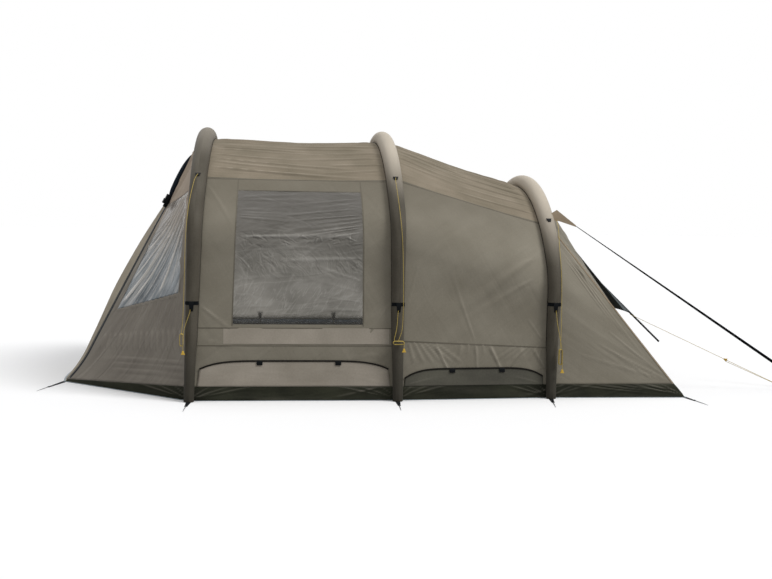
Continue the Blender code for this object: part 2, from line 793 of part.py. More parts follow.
def make_wings(finishes):
    columns = len(WING_RULING_SHARES) - 1
    first, last = WING_FILM_ROWS
    film = [(row, column) for row in range(first, last) for column in range(1, columns - 1)]
    for side, hand in HANDS.items():
        rows = wing_rows(hand)
        sheet("wing_" + side, rows, finishes["wing"], skip=film)
        inner = [row[1:-1] for row in rows[first : last + 1]]
        sheet("wing_window_" + side, shrink_grid(inner, SEAM_GAP), finishes["film"], FILM)


def make_door(finishes):
    """The door, bowed outwards between the two zip lines."""
    rows = []
    for i in range(DOOR_ROWS + 1):
        drop = i / DOOR_ROWS
        z = mix(ZIP_TOP_Z - ZIP_GAP, HEM, drop)
        edge = zip_point(z, 1)
        bow = mix(DOOR_TOP_BULGE, DOOR_FOOT_BULGE, drop) + DOOR_MIDDLE_BULGE * math.sin(math.pi * drop)
        row = []
        for j in range(DOOR_COLUMNS + 1):
            across = 2 * j / DOOR_COLUMNS - 1
            row.append(Vector((edge.x - bow * (1 - across**2), (edge.y - ZIP_GAP) * across, z)))
        rows.append(row)
    set_origin(sheet("front_door", rows, finishes["door"]), (ZIP_TOP_X, 0, ZIP_TOP_Z))


def rear_junction(hand):
    return fly_edge(REAR, REAR.at(REAR.window_top), 1, hand)


def rear_ground(share):
    """A point of the rear ground edge, from the near corner (-1) to the far corner (+1)."""
    return Vector((REAR_CORNER_X + REAR_EDGE_BOW * (1 - share**2), REAR_CORNER_Y * share, 0))


def rear_arch():
    """Points of the rear beam's flank over the crown, from the near junction to the far one."""
    stations = [REAR.at(REAR.window_top), *REAR.roof()]
    near = [fly_edge(REAR, station, 1, -1) for station in stations]
    return near + [Vector((point.x, -point.y, point.z)) for point in reversed(near[:-1])]


def rear_row(station):
    """One row of the rear end for a station of the rear beam: near side, slope, far side."""
    arch = rear_arch()
    edge = fly_edge(REAR, station, 1, -1)
    level = edge.z / rear_junction(-1).z
    last = len(arch) - 1
    slope = [mix(rear_ground(2 * i / last - 1), point, level) for i, point in enumerate(arch)]
    near = [mix(edge, slope[0], i / REAR_SIDE_COLUMNS) for i in range(REAR_SIDE_COLUMNS)]
    far = [Vector((point.x, -point.y, point.z)) for point in reversed(near)]
    return near + slope + far


def rear_rows():
    stations = [REAR.on_leg(z) for z in (MUDWALL_TOP + SEAM_GAP, *REAR.leg_steps)]
    return [rear_row(station) for station in stations + REAR.shoulder()]


def make_mudwalls(finishes):
    """The dark band round the foot, each half from a front corner to the middle of the rear edge."""
    for side, hand in HANDS.items():
        rows = []
        for lower in (True, False):
            row = []
            flank = HEM if lower else MUDWALL_TOP - SEAM_GAP
            corner = HEM if lower else FRONT_MUDWALL_TOP - SEAM_GAP
            start, end = zip_point(corner, hand), fly_edge(FRONT, FRONT.on_leg(flank), -1, hand)
            row += [mix(start, end, share) for share in (0, 0.25, 0.5, 0.75, 1)]
            for first, second in ((FRONT, MIDDLE), (MIDDLE, REAR)):
                stations = (first.on_leg(flank), second.on_leg(flank))
                row += [bay_point(first, second, stations, share, hand) for share in (0, 0.25, 0.5, 0.75, 1)]
            whole = rear_row(REAR.on_leg(flank))
            half = whole[: len(whole) // 2 + 1]
            if hand > 0:
                half = [Vector((point.x, -point.y, point.z)) for point in half]
            for point in half if lower else ():
                point.z = flank
            half[-1].y = hand * SEAM_GAP
            row += half
            rows.append(row)
        rows = [[point for i, point in enumerate(row) if i not in (4, 9, 14)] for row in rows]
        sheet("mudwall_" + side, rows, finishes["mudwall"])


def outline_half():
    """The groundsheet's edge on one side, from the middle of the door to the middle of the rear."""
    door = [
        Vector((CORNER_X - DOOR_FOOT_BULGE * (1 - across**2), CORNER_Y * across, 0)) for across in (0, 0.5, 1)
    ]
    feet = [beam.surface(beam.on_leg(FLOOR), -beam.radius(0) - SEAM_GAP, hand=1) for beam in BEAMS]
    rear = [rear_ground(share) for share in (1, 0.5, 0)]
    return door + feet + rear


def strap_places():
    """Root, outward direction, length and root width of each peg strap."""
    places = []
    for side, hand in HANDS.items():
        for beam, turn in zip(BEAMS, FOOT_STRAP_TURN_SHARES):
            root = beam.surface(beam.on_leg(FLOOR), 0.0, hand=hand)
            places.append(("foot_peg_%s_%s" % (beam.name, side), root, (turn, hand), FOOT_STRAP_LENGTH))
        corner = Vector((CORNER_X, hand * CORNER_Y, 0))
        front_way, rear_way = (FRONT_STRAP_TURN_SHARE, hand), (REAR_STRAP_TURN_SHARE, hand)
        places.append(("corner_peg_front_" + side, corner, front_way, CORNER_STRAP_LENGTH))
        places.append(("corner_peg_rear_" + side, rear_ground(hand), rear_way, REAR_STRAP_LENGTH))
    return places


def flat_shape(shape, outline, bottom, top):
    face = shape.faces.new([shape.verts.new((x, y, bottom)) for x, y in outline])
    made = bmesh.ops.extrude_face_region(shape, geom=[face])
    verts = [item for item in made["geom"] if isinstance(item, bmesh.types.BMVert)]
    bmesh.ops.translate(shape, verts=verts, vec=(0, 0, top - bottom))


def make_groundsheet(finishes):
    half = outline_half()
    centre = Vector((sum(point.x for point in half) / len(half), 0, 0))
    half = [point + (point - centre).normalized() * EDGE_LEDGE for point in half]
    whole = half + [Vector((point.x, -point.y, 0)) for point in half[-2:0:-1]]
    shape = bmesh.new()
    flat_shape(shape, [(point.x, point.y) for point in whole], 0.0, BASE)
    ground = mesh_object("groundsheet", shape, finishes["groundsheet"], smooth=False)

    straps, slots = bmesh.new(), bmesh.new()
    for name, root, way, length in strap_places():
        along = Vector((*way, 0)).normalized()
        side = Vector((-along.y, along.x, 0))
        seat = Vector((root.x, root.y, 0))
        start, end = seat - along * STRAP_OVERLAP, seat + along * length
        wide, narrow = side * FOOT_STRAP_WIDTH / 2, side * STRAP_END_WIDTH / 2
        corners = (start - wide, end - narrow, end + narrow, start + wide)
        flat_shape(straps, [(point.x, point.y) for point in corners], 0.0, BASE)
        outer, inner = end - along * END_BAR, end - along * (END_BAR + SLOT_LENGTH)
        wide = side * SLOT_WIDTH / 2
        corners = (inner - wide, outer - wide, outer + wide, inner + wide)
        flat_shape(slots, [(point.x, point.y) for point in corners], -OVERRUN, OVERRUN)
        make_peg(name, end, along, finishes["steel"])
    boolean(ground, mesh_object("peg_straps", straps, cutter=True, smooth=False), "UNION")
    boolean(ground, mesh_object("peg_slots", slots, cutter=True, smooth=False), "DIFFERENCE")


def make_peg(name, end, along, finish):
    """A wire peg laid on the floor, hooked over a strap's end bar and down into its slot."""
    up = Vector((0, 0, 1))
    over = BASE + SEAM_GAP + PEG_RADIUS
    hook = END_BAR + SEAM_GAP + PEG_RADIUS
    path = (
        (-hook, HOOK_END_LIFT),
        (-hook, over - PEG_RADIUS / 2),
        (-hook + PEG_RADIUS / 2, over),
        (HOOK_BACK, over),
        (HOOK_BACK + PEG_RADIUS * 3, PEG_RADIUS),
        (PEG_LENGTH * PEG_TAPER_SHARE, PEG_RADIUS),
        (PEG_LENGTH, PEG_RADIUS / 2),
    )
    points = [end + along * run + up * rise for run, rise in path]
    shares = [1] * (len(points) - 1) + [PEG_POINT_SHARE]
    tube(name, points, PEG_RADIUS, finish, shares, resolution=1)


def hood_frame():
    """The hood's root on the rear slope, in the middle, and the directions of its ridge and sides."""
    arch = rear_arch()
    top = arch[len(arch) // 2]
    root = mix(rear_ground(0), top, HOOD_ROOT_Z / top.z)
    slope = (top - rear_ground(0)).normalized()
    out = Vector((slope.z, 0, -slope.x))
    root = root + out * (CLOTH + HOOD_LIFT)
    ridge = Vector((math.cos(HOOD_PITCH), 0, -math.sin(HOOD_PITCH)))
    side = Vector((math.cos(HOOD_SIDE_PITCH), 0, -math.sin(HOOD_SIDE_PITCH)))
    return root, ridge, side


def make_hood(finishes):
    root, ridge, side = hood_frame()
    rows = []
    for run in (0, 0.25, 0.5, 0.75, 1):
        row = []
        for across in (-1, -0.5, 0, 0.5, 1):
            way = mix(ridge, side, abs(across) ** HOOD_CURVE_POWER).normalized()
            wide = mix(HOOD_ROOT_HALF_WIDTH, HOOD_EDGE_HALF_WIDTH, run) * across
            long = HOOD_LENGTH * run * (1 - HOOD_SWEEP_SHARE * abs(across))
            row.append(root + way * long + Vector((0, wide, 0)))
        rows.append(row)
    hood = sheet("vent_hood", rows, finishes["hood"])
    start = root + ridge * (HOOD_LENGTH * STRUT_START_SHARE)
    under = ridge.cross(Vector((0, 1, 0))) * (STRUT_RADIUS * (1 - STRUT_PROUD_SHARE))
    points = [start + under]
    points += [root + ridge * run + under for run in (HOOD_LENGTH, HOOD_LENGTH + STRUT_EXTRA)]
    strut = tube("hood_strut", points, STRUT_RADIUS, cutter=True, to_mesh=True)
    boolean(hood, strut, "UNION")
    set_origin(hood, root)


def cabin_loop(x, half_width, height, base):
    """One closed section of the cabin: over the arch, then back along its floor."""
    loop = []
    for i in range(CABIN_SIDES + 1):
        angle = math.pi * i / CABIN_SIDES
        out_y = math.copysign(abs(math.cos(angle)) ** (2 / CABIN_POWER), -math.cos(angle))
        out_z = abs(math.sin(angle)) ** (2 / CABIN_POWER)
        loop.append(Vector((x, half_width * out_y, base + (height - base) * out_z)))
    for i in range(1, CABIN_FLOOR_SIDES):
        loop.append(mix(loop[CABIN_SIDES], loop[0], i / CABIN_FLOOR_SIDES))
    return loop


def make_cabin(finishes):
    """The sleeping cabin: a bag of light cloth with a floor, open at its doorway."""
    lift = FLOOR + CABIN_CLOTH / 2 + SEAM_GAP
    x, half_width, height = CABIN_SECTIONS[0]
    door_size = (half_width * CABIN_DOOR_WIDTH_SHARE, height * CABIN_DOOR_HEIGHT_SHARE)
    door = cabin_loop(x, *door_size, CABIN_DOOR_SILL)
    sections = [cabin_loop(*section, lift) for section in CABIN_SECTIONS]
    shape = bmesh.new()
    grid = loft(shape, [door, *sections], around=True)
    shape.faces.new(reversed(grid[-1]))
    cabin = mesh_object("sleeping_cabin", shape, finishes["cabin"])
    thick = cabin.modifiers.new("cloth", "SOLIDIFY")
    thick.thickness = CABIN_CLOTH
    thick.offset = 0.0
    thick.use_even_offset = True


def make_pullers(finishes):
    """A slider with its pull tab beside each zip line, which slides straight down the line."""
    for side, hand in HANDS.items():
        top, foot = zip_point(ZIP_TOP_Z, hand), zip_point(KNEE_Z, hand)
        down = (foot - top).normalized()
        place = zip_point(PULLER_Z, hand)
        flank = fly_edge(FRONT, FRONT.at(FRONT.window_top), -1, hand)
        inward = (flank - place).normalized()
        out = inward.cross(down) * hand
        out = out.normalized()
        if out.x > 0:
            out = -out
        across = down.cross(out).normalized()
        if across.y * hand < 0:
            across = -across
        axes = Matrix((down, across, out)).transposed()
        if axes.determinant() < 0:
            axes = Matrix((down, -across, out)).transposed()
        lift = PULLER_LIFT + PULLER_DEPTH / 2 + CLOTH / 2
        centre = place + across * (PULLER_WIDTH / 2 + ZIP_GAP) + out * lift
        size = (PULLER_LENGTH, PULLER_WIDTH, PULLER_DEPTH)
        bevel = PULLER_DEPTH / 4
        puller = block("zip_puller_" + side, size, centre, axes, finishes["fitting"], bevel=bevel)
        set_origin(puller, centre)


def stadium(turn, straight):
    """A point round a long loop with half-round ends, for a turn of 0 to 1, and it starts at one side."""
    arc = math.pi * HANK_END_RADIUS
    run = turn % 1 * 2 * (straight + arc)
    for sign in (1, -1):
        if run <= straight:
            return HANK_END_RADIUS * sign, (run - straight / 2) * sign
        run -= straight
        if run <= arc:
            angle = run / HANK_END_RADIUS
            along = straight / 2 + HANK_END_RADIUS * math.sin(angle)
            return HANK_END_RADIUS * math.cos(angle) * sign, along * sign
        run -= arc
    return HANK_END_RADIUS, -straight / 2


def hank_points(entry, down, side, depth, long):
    """The hank's loops as one unbroken line that enters at entry and leaves further down."""
    straight = long - 2 * HANK_END_RADIUS
    whole = 2 * (straight + math.pi * HANK_END_RADIUS)
    marks = [0.0, straight]
    marks += [straight + math.pi * HANK_END_RADIUS * i / HANK_END_POINTS for i in range(1, HANK_END_POINTS)]
    half = [mark / whole for mark in marks]
    turns = half + [share + 0.5 for share in half]
    centre = Vector(entry) + Vector(down) * (straight / 2) + Vector(side) * HANK_END_RADIUS
    points = []
    for loop in range(HANK_LOOPS):
        for share in turns:
            across, along = stadium(share, straight)
            layer = Vector(depth) * (HANK_PITCH * (loop + share))
            points.append(centre - Vector(side) * across + Vector(down) * along + layer)
    across, along = stadium(0, straight)
    for reach, turn in ((along, 0), (-along, half[1])):
        layer = Vector(depth) * (HANK_PITCH * (HANK_LOOPS + turn))
        points.append(centre - Vector(side) * across + Vector(down) * reach + layer)
    return points


def least_self_gap(points, radius):
    """The least gap between two stretches of a tube that aren't neighbours along it."""
    fine, runs = [], []
    run = 0.0
    for start, end in zip(points, points[1:]):
        parts = max(1, math.ceil((end - start).length / (radius / 3)))
        fine += [mix(start, end, i / parts) for i in range(parts)]
        runs += [run + (end - start).length * i / parts for i in range(parts)]
        run += (end - start).length
    places, runs = np.array(fine), np.array(runs)
    least = math.inf
    for place, run in zip(places, runs):
        apart = np.linalg.norm(places - place, axis=1)
        least = min(least, apart[np.abs(runs - run) > HANK_END_RADIUS * 2].min())
    return least - 2 * radius


# Hanging guy lines on the near side. Each route is a list of places chosen along the real cord:
# the upper line from the clip to the hank, and the lower leg from the band's tab to the hank.
GUY_ROUTES = {
    "front": {
        "upper": (
            (-1.3885, -1.1793, 1.6158),
            (-1.4030, -1.2120, 1.5900),
            (-1.4140, -1.2620, 1.5480),
            (-1.4360, -1.3720, 1.4080),
            (-1.4490, -1.4370, 1.2620),
            (-1.4570, -1.4600, 1.1000),
            (-1.4610, -1.4640, 0.9000),
            (-1.4660, -1.4680, 0.7000),
            (-1.4710, -1.4780, 0.5600),
            (-1.4765, -1.4880, 0.5000),
            (-1.4765, -1.4895, 0.4750),
            (-1.4765, -1.5000, 0.4560),
        ),
        "lower": (
            (-1.4180, -1.4915, 0.6520),
            (-1.4230, -1.4930, 0.6250),
            (-1.4400, -1.4960, 0.5750),
            (-1.4560, -1.4965, 0.5250),
            (-1.4640, -1.4955, 0.4900),
            (-1.4650, -1.4950, 0.4725),
        ),
        "down": (0, 0, -1),
        "side": (-1, 0, 0),
        "hank": 0.087,
    },
    "middle": {
        "upper": (
            (0.0570, -1.1793, 1.6158),
            (0.0520, -1.2120, 1.5920),
            (0.0520, -1.2725, 1.5490),
            (0.0600, -1.3850, 1.4110),
            (0.0700, -1.4660, 1.2620),
            (0.0800, -1.4850, 1.1000),
            (0.0860, -1.4930, 0.9000),
            (0.0880, -1.4990, 0.7000),
            (0.0820, -1.5060, 0.5300),
            (0.0640, -1.5130, 0.4650),
            (0.0560, -1.5165, 0.4410),
            (0.0540, -1.5280, 0.4270),
        ),
        "lower": (
            (0.0530, -1.4915, 0.6520),
            (0.0500, -1.4960, 0.6250),
            (0.0440, -1.5080, 0.5500),
            (0.0330, -1.5170, 0.4900),
            (0.0240, -1.5205, 0.4560),
            (0.0260, -1.5220, 0.4380),
        ),
        "down": (1, 0, 0),
        "side": (0, 0, -1),
        "hank": 0.079,
    },
    "rear": {
        "upper": (
            (1.3480, -0.9532, 1.3240),
            (1.3440, -0.9800, 1.3030),
            (1.3360, -1.0500, 1.2650),
            (1.3180, -1.1400, 1.1900),
            (1.3000, -1.2300, 1.1050),
            (1.2880, -1.3150, 1.0050),
            (1.2820, -1.3700, 0.8800),
            (1.2820, -1.3860, 0.7000),
            (1.2810, -1.3950, 0.5500),
            (1.2740, -1.4120, 0.4200),
            (1.2665, -1.4220, 0.3650),
            (1.2665, -1.4340, 0.3420),
        ),
        "lower": (
            (1.2400, -1.3905, 0.6520),
            (1.2420, -1.3960, 0.6250),
            (1.2500, -1.4110, 0.5400),
            (1.2640, -1.4220, 0.4600),
            (1.2765, -1.4280, 0.3900),
            (1.2780, -1.4290, 0.3600),
        ),
        "down": (0, 0, -1),
        "side": (-1, 0, 0),
        "hank": 0.115,
    },
}


def make_guy_lines(finishes):
    for name, route in GUY_ROUTES.items():
        tube("guy_line_" + name, smooth_route(route["upper"], 3), CORD_RADIUS, finishes["cord"])
        down, side = Vector(route["down"]), Vector(route["side"])
        depth = Vector((0, -1, 0))
        entry = Vector(route["lower"][-1])
        loops = hank_points(entry, down, side, depth, route["hank"])
        lead = smooth_route(route["lower"], 2)[:-1]
        tail = [loops[-1] + down * HANK_TAIL]
        if name == "middle":
            drop = Vector((CORD_RADIUS * 5, -HANK_PITCH / 2, -CORD_RADIUS * 4))
            tail = [loops[-1] + drop / 2, loops[-1] + drop, loops[-1] + drop + Vector((0, 0, -HANK_TAIL))]
        points = lead + loops + tail
        print("guy_hank_%s: least gap to itself %.5f m" % (name, least_self_gap(points, CORD_RADIUS)))
        tube("guy_hank_" + name, points, CORD_RADIUS, finishes["cord"], resolution=1)
        top = points[-1] - Vector((0, 0, SEAM_GAP))
        runner("guy_runner_" + name, top, Vector((0, 0, -1)), depth, finishes["runner"], bored=False)


def runner(name, start, along, facing, finish, bored=True):
    """A line runner: a flared plastic block, bored along its length for the cord."""
    shape = bmesh.new()
    axes = frame_of(along, facing)
    rows = []
    for run, wide in ((0, RUNNER_NECK), (RUNNER_NECK_SHARE, RUNNER_NECK), (1, RUNNER_WIDTH)):
        ring = [(y * wide / 2, z * RUNNER_DEPTH / 2) for y, z in ((-1, -1), (1, -1), (1, 1), (-1, 1))]
        rows.append([start + axes @ Vector((run * RUNNER_LENGTH, y, z)) for y, z in ring])
    grid = loft(shape, rows, around=True)
    shape.faces.new(grid[0])
    shape.faces.new(grid[-1])
    bmesh.ops.bevel(shape, geom=shape.edges[:], offset=RUNNER_DEPTH / 8, segments=1, affect="EDGES")
    made = mesh_object(name, shape, finish, smooth=False)
    if bored:
        ends = [start - along * OVERRUN, start + along * (RUNNER_LENGTH + OVERRUN)]
        bore = tube(name + "_bore", ends, CORD_RADIUS + SEAM_GAP, cutter=True, to_mesh=True)
        boolean(made, bore, "DIFFERENCE")
    set_origin(made, start)
    return made


def vent_guy_ends():
    root, ridge, _ = hood_frame()
    tip = root + ridge * (HOOD_LENGTH + STRUT_RADIUS)
    over = ridge.cross(Vector((0, 1, 0))) * -(STRUT_RADIUS * STRUT_PROUD_SHARE + CORD_RADIUS + SEAM_GAP)
    return tip + over, Vector((*VENT_GUY_ANCHOR, ANCHOR_LIFT))


def make_vent_guy(finishes):
    """The guy from the hood's tip through its runner to the peg, and back up to the runner."""
    start, anchor = vent_guy_ends()
    way = (anchor - start).normalized()
    level = way.cross(Vector((0, 0, 1))).normalized()
    under = level.cross(way) * -VENT_GUY_DROP
    eye = [math.pi * i / EYE_SIDES - math.pi / 2 for i in range(EYE_SIDES + 1)]
    turn = [anchor + (level * math.sin(angle) + way * math.cos(angle)) * VENT_GUY_EYE for angle in eye]
    place = mix(start, turn[0], VENT_RUNNER_SHARE)
    behind = place + way * (RUNNER_LENGTH + SEAM_GAP + CORD_RADIUS)
    back = [mix(turn[-1], behind + under, share) for share in VENT_BACK_SHARES]
    points = [mix(start, turn[0], share) for share in VENT_LINE_SHARES] + turn + back
    tube("vent_guy", points, CORD_RADIUS, finishes["cord"])
    runner("vent_guy_runner", place, (turn[0] - start).normalized(), level, finishes["runner"])
    anchor_peg("vent_guy_peg", anchor, way, finishes["steel"])


def anchor_peg(name, place, way, finish):
    """A wire peg laid on the floor beyond a guy's end, with its hook standing up through the guy."""
    flat = Vector((way.x, way.y, 0)).normalized()
    start = Vector((place.x, place.y, 0))
    path = [(ANCHOR_LIFT * run, ANCHOR_LIFT * rise) for run, rise in ANCHOR_HOOK_SHARES]
    path += [
        (0, PEG_RADIUS * 3),
        (PEG_RADIUS * 2, PEG_RADIUS),
        (PEG_LENGTH * PEG_TAPER_SHARE, PEG_RADIUS),
        (PEG_LENGTH, PEG_RADIUS / 2),
    ]
    points = [start + flat * run + Vector((0, 0, rise)) for run, rise in path]
    shares = [1] * (len(points) - 1) + [PEG_POINT_SHARE]
    tube(name, points, PEG_RADIUS, finish, shares, resolution=1)


def make_storm_strap(finishes):
    """Flat webbing from the rear beam's storm tab to its peg, which turns from edge-on to flat."""
    tip = storm_tab_tip(-1)
    anchor = Vector((*STORM_ANCHOR, ANCHOR_LIFT))
    way = (anchor - tip).normalized()
    start = tip + way * (WEBBING / 3 + SEAM_GAP)
    level = way.cross(Vector((0, 0, 1))).normalized()
    upright = level.cross(way).normalized()
    rows = []
    ends = [mix(STORM_TWIST_END_SHARE, 1, i / 7) for i in range(8)]
    for share in [i / 10 for i in range(10)] + ends:
        angle = STORM_STRAP_TWIST * min(share, (1 - share) / (1 - STORM_TWIST_END_SHARE))
        wide = (level * math.cos(angle) + upright * math.sin(angle)) * STORM_STRAP_WIDTH / 2
        thin = way.cross(wide).normalized() * WEBBING / 2
        centre = mix(start, anchor, share)
        rows.append([centre - wide - thin, centre + wide - thin, centre + wide + thin, centre - wide + thin])
    shape = bmesh.new()
    grid = loft(shape, rows, around=True)
    shape.faces.new(grid[0])
    shape.faces.new(grid[-1])
    strap = mesh_object("storm_strap", shape, finishes["webbing"], smooth=False)
    middle = anchor - way * (END_BAR + SLOT_LENGTH / 2)
    axes = Matrix((way, level, upright)).transposed()
    slot = block("storm_slot", (SLOT_LENGTH, SLOT_WIDTH, OVERRUN), middle, axes, cutter=True)
    boolean(strap, slot, "DIFFERENCE")
    anchor_peg("storm_peg", anchor - way * (END_BAR + HOOK_BACK), way, finishes["steel"])


def make_finishes():
    return {
        "sleeve": material("beam_sleeve_cloth", 0.17, 0.15, 0.12, 0.75),
        "bladder": material("bladder_film", 0.55, 0.56, 0.58, 0.35),
        "fitting": material("moulded_fitting", 0.02, 0.025, 0.03, 0.5),
        "roof": material("roof_cloth", 0.30, 0.26, 0.19, 0.8),
        "wall": material("wall_cloth", 0.18, 0.16, 0.13, 0.8),
        "wing": material("wing_cloth", 0.12, 0.10, 0.085, 0.8),
        "film": material("clear_film", 0.35, 0.37, 0.38, 0.1, alpha=0.4),
        "door": material("door_cloth", 0.32, 0.28, 0.22, 0.8),
        "vent": material("vent_cloth", 0.28, 0.26, 0.22, 0.8),
        "mudwall": material("mudwall_cloth", 0.05, 0.045, 0.037, 0.7),
        "groundsheet": material("groundsheet_cloth", 0.36, 0.42, 0.45, 0.5),
        "curtain": material("curtain_cloth", 0.011, 0.021, 0.032, 0.8),
        "hood": material("hood_cloth", 0.03, 0.04, 0.045, 0.7),
        "cabin": material("cabin_cloth", 0.20, 0.19, 0.18, 0.9),
        "webbing": material("webbing", 0.006, 0.01, 0.012, 0.7),
        "cord": material("guy_cord", 0.40, 0.31, 0.06, 0.7),
        "runner": material("runner_plastic", 0.68, 0.48, 0.08, 0.4),
        "steel": material("peg_steel", 0.05, 0.055, 0.06, 0.4, 1.0),
    }


def main():
    clear_scene()
    finishes = make_finishes()
    for beam in BEAMS:
        make_beam(beam, finishes)
    make_roof("roof_front", FRONT, MIDDLE, finishes["roof"])
    make_roof("roof_rear", MIDDLE, REAR, finishes["roof"])
    make_walls(finishes)
    make_wings(finishes)
    make_door(finishes)
    sheet("rear_end", rear_rows(), finishes["wall"])
    make_mudwalls(finishes)
    make_groundsheet(finishes)
    make_hood(finishes)
    make_cabin(finishes)
    make_pullers(finishes)
    make_guy_lines(finishes)
    make_vent_guy(finishes)
    make_storm_strap(finishes)


main()
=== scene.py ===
"""The looks of an inflatable tent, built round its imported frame.

Metres, +Z up. The door looks along -X, and the tent's left side is -Y.
"""

import math

import bmesh
import bpy
import numpy as np
from mathutils import Matrix, Vector


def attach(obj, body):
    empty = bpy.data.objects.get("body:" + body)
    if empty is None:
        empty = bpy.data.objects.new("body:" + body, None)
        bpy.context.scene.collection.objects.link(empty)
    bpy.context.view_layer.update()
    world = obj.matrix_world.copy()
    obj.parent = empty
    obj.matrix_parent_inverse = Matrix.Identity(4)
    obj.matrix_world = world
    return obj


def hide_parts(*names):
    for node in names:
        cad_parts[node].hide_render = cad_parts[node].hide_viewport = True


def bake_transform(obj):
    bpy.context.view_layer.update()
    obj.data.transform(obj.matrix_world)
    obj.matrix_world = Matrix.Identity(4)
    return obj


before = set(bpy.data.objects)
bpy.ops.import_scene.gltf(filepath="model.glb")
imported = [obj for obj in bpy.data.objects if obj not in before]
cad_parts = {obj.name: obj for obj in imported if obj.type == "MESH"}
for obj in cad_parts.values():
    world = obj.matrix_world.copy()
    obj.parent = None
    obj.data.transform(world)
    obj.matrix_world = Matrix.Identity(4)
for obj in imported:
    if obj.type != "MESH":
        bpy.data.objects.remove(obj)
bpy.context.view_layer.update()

# The studio. A plain pale floor and even soft light, with a broad lamp high over the near side, so
# that the roofs are lighter than the walls. The camera stands beside the near wall, a little ahead
# of the middle beam, at the height of a person's chest.
CAMERA_PLACE = (-0.8725, -8.963, 1.263)
CAMERA_YAW = math.radians(6.37)
CAMERA_PITCH = math.radians(3.49)
CAMERA_ROLL = math.radians(0.85)
FOCAL_PIXELS = 1053.6
IMAGE_WIDTH = 772
SENSOR_WIDTH = 36
FLOOR_SIZE = 400
KEY_FROM = (0.62, -0.36, 0.7)
KEY_STRENGTH = 1.7
KEY_SPREAD = math.radians(22)
TOP_FROM = (-0.1, -0.1, 1.0)
TOP_STRENGTH = 1.1
TOP_SPREAD = math.radians(70)
SKY_STRENGTH = 0.3
BOUNCE_SHADE = "a8a8a8"


def linear(code):
    """A colour written as sRGB hex, as linear values."""
    parts = [int(code[i : i + 2], 16) / 255 for i in (0, 2, 4)]
    return (*(c / 12.92 if c <= 0.04045 else ((c + 0.055) / 1.055) ** 2.4 for c in parts), 1.0)


def add(tree, kind, values=None, links=None, **settings):
    """Adds one node with its settings, its sockets' values and its links."""
    made = tree.nodes.new(kind)
    for key, value in settings.items():
        setattr(made, key, value)
    for key, value in (values or {}).items():
        made.inputs[key].default_value = value
    for key, source in (links or {}).items():
        tree.links.new(source, made.inputs[key])
    return made


def new_material(name, **sockets):
    """A material with one shader, whose uniform values are set on its own sockets."""
    made = bpy.data.materials.new(name)
    made.use_nodes = True
    shader = made.node_tree.nodes["Principled BSDF"]
    for key, value in sockets.items():
        shader.inputs[key.replace("_", " ").title().replace("Ior", "IOR")].default_value = value
    return made, made.node_tree, shader


def pick(piece=None):
    """Makes one piece, or none, the selected one."""
    bpy.ops.object.select_all(action="DESELECT")
    if piece:
        piece.select_set(True)
        bpy.context.view_layer.objects.active = piece


def added(operator, **settings):
    """A form added by its operator, to be shaped, cut with or bevelled."""
    pick()
    operator(**settings)
    return bpy.context.object


flat_reach = math.cos(CAMERA_PITCH)
forward = Vector(
    (math.sin(CAMERA_YAW) * flat_reach, math.cos(CAMERA_YAW) * flat_reach, -math.sin(CAMERA_PITCH))
)
level_right = Vector((math.cos(CAMERA_YAW), -math.sin(CAMERA_YAW), 0))
level_up = level_right.cross(forward)
right = level_right * math.cos(CAMERA_ROLL) + level_up * math.sin(CAMERA_ROLL)
upward = level_up * math.cos(CAMERA_ROLL) - level_right * math.sin(CAMERA_ROLL)
camera = bpy.data.objects.new("camera", bpy.data.cameras.new("camera"))
bpy.context.scene.collection.objects.link(camera)
facing = Matrix((right, upward, -forward)).transposed().to_4x4()
camera.matrix_world = Matrix.Translation(CAMERA_PLACE) @ facing
camera.data.sensor_width = SENSOR_WIDTH
camera.data.lens = FOCAL_PIXELS / IMAGE_WIDTH * SENSOR_WIDTH
camera.data.clip_end = FLOOR_SIZE
bpy.context.scene.camera = camera

for name, source, strength, spread_angle in (
    ("key_lamp", KEY_FROM, KEY_STRENGTH, KEY_SPREAD), ("top_lamp", TOP_FROM, TOP_STRENGTH, TOP_SPREAD)
):
    lamp = bpy.data.objects.new(name, bpy.data.lights.new(name, "SUN"))
    bpy.context.scene.collection.objects.link(lamp)
    lamp.rotation_euler = Vector(source).to_track_quat("Z", "Y").to_euler()
    lamp.data.energy = strength
    lamp.data.angle = spread_angle

world = bpy.data.worlds.new("studio")
world.use_nodes = True
bpy.context.scene.world = world
tree = world.node_tree
tree.nodes.clear()
rays = add(tree, "ShaderNodeLightPath")
seen = add(
    tree, "ShaderNodeMath", links={0: rays.outputs["Is Camera Ray"], 1: rays.outputs["Is Glossy Ray"]},
    operation="MAXIMUM"
)
through = rays.outputs["Is Transmission Ray"]
seen = add(tree, "ShaderNodeMath", links={0: seen.outputs[0], 1: through}, operation="MAXIMUM")
plain = add(tree, "ShaderNodeBackground", {"Color": linear("ffffff"), "Strength": 1.0})
sky = add(tree, "ShaderNodeBackground", {"Color": linear("fbfcff"), "Strength": SKY_STRENGTH})
both = add(tree, "ShaderNodeMixShader", links={0: seen.outputs[0], 1: sky.outputs[0], 2: plain.outputs[0]})
add(tree, "ShaderNodeOutputWorld", links={"Surface": both.outputs[0]})

floor = added(bpy.ops.mesh.primitive_plane_add, size=FLOOR_SIZE)
floor.name = "studio_floor"
finish, tree, shader = new_material("white_studio_floor", roughness=0.9, specular_ior_level=0.0)
rays = add(tree, "ShaderNodeLightPath")
shades = {6: linear(BOUNCE_SHADE), 7: linear("ffffff")}
shade = add(tree, "ShaderNodeMix", shades, {0: rays.outputs["Is Camera Ray"]}, data_type="RGBA")
tree.links.new(shade.outputs[2], shader.inputs["Base Color"])
floor.data.materials.append(finish)
bpy.context.scene.view_settings.view_transform = "Standard"


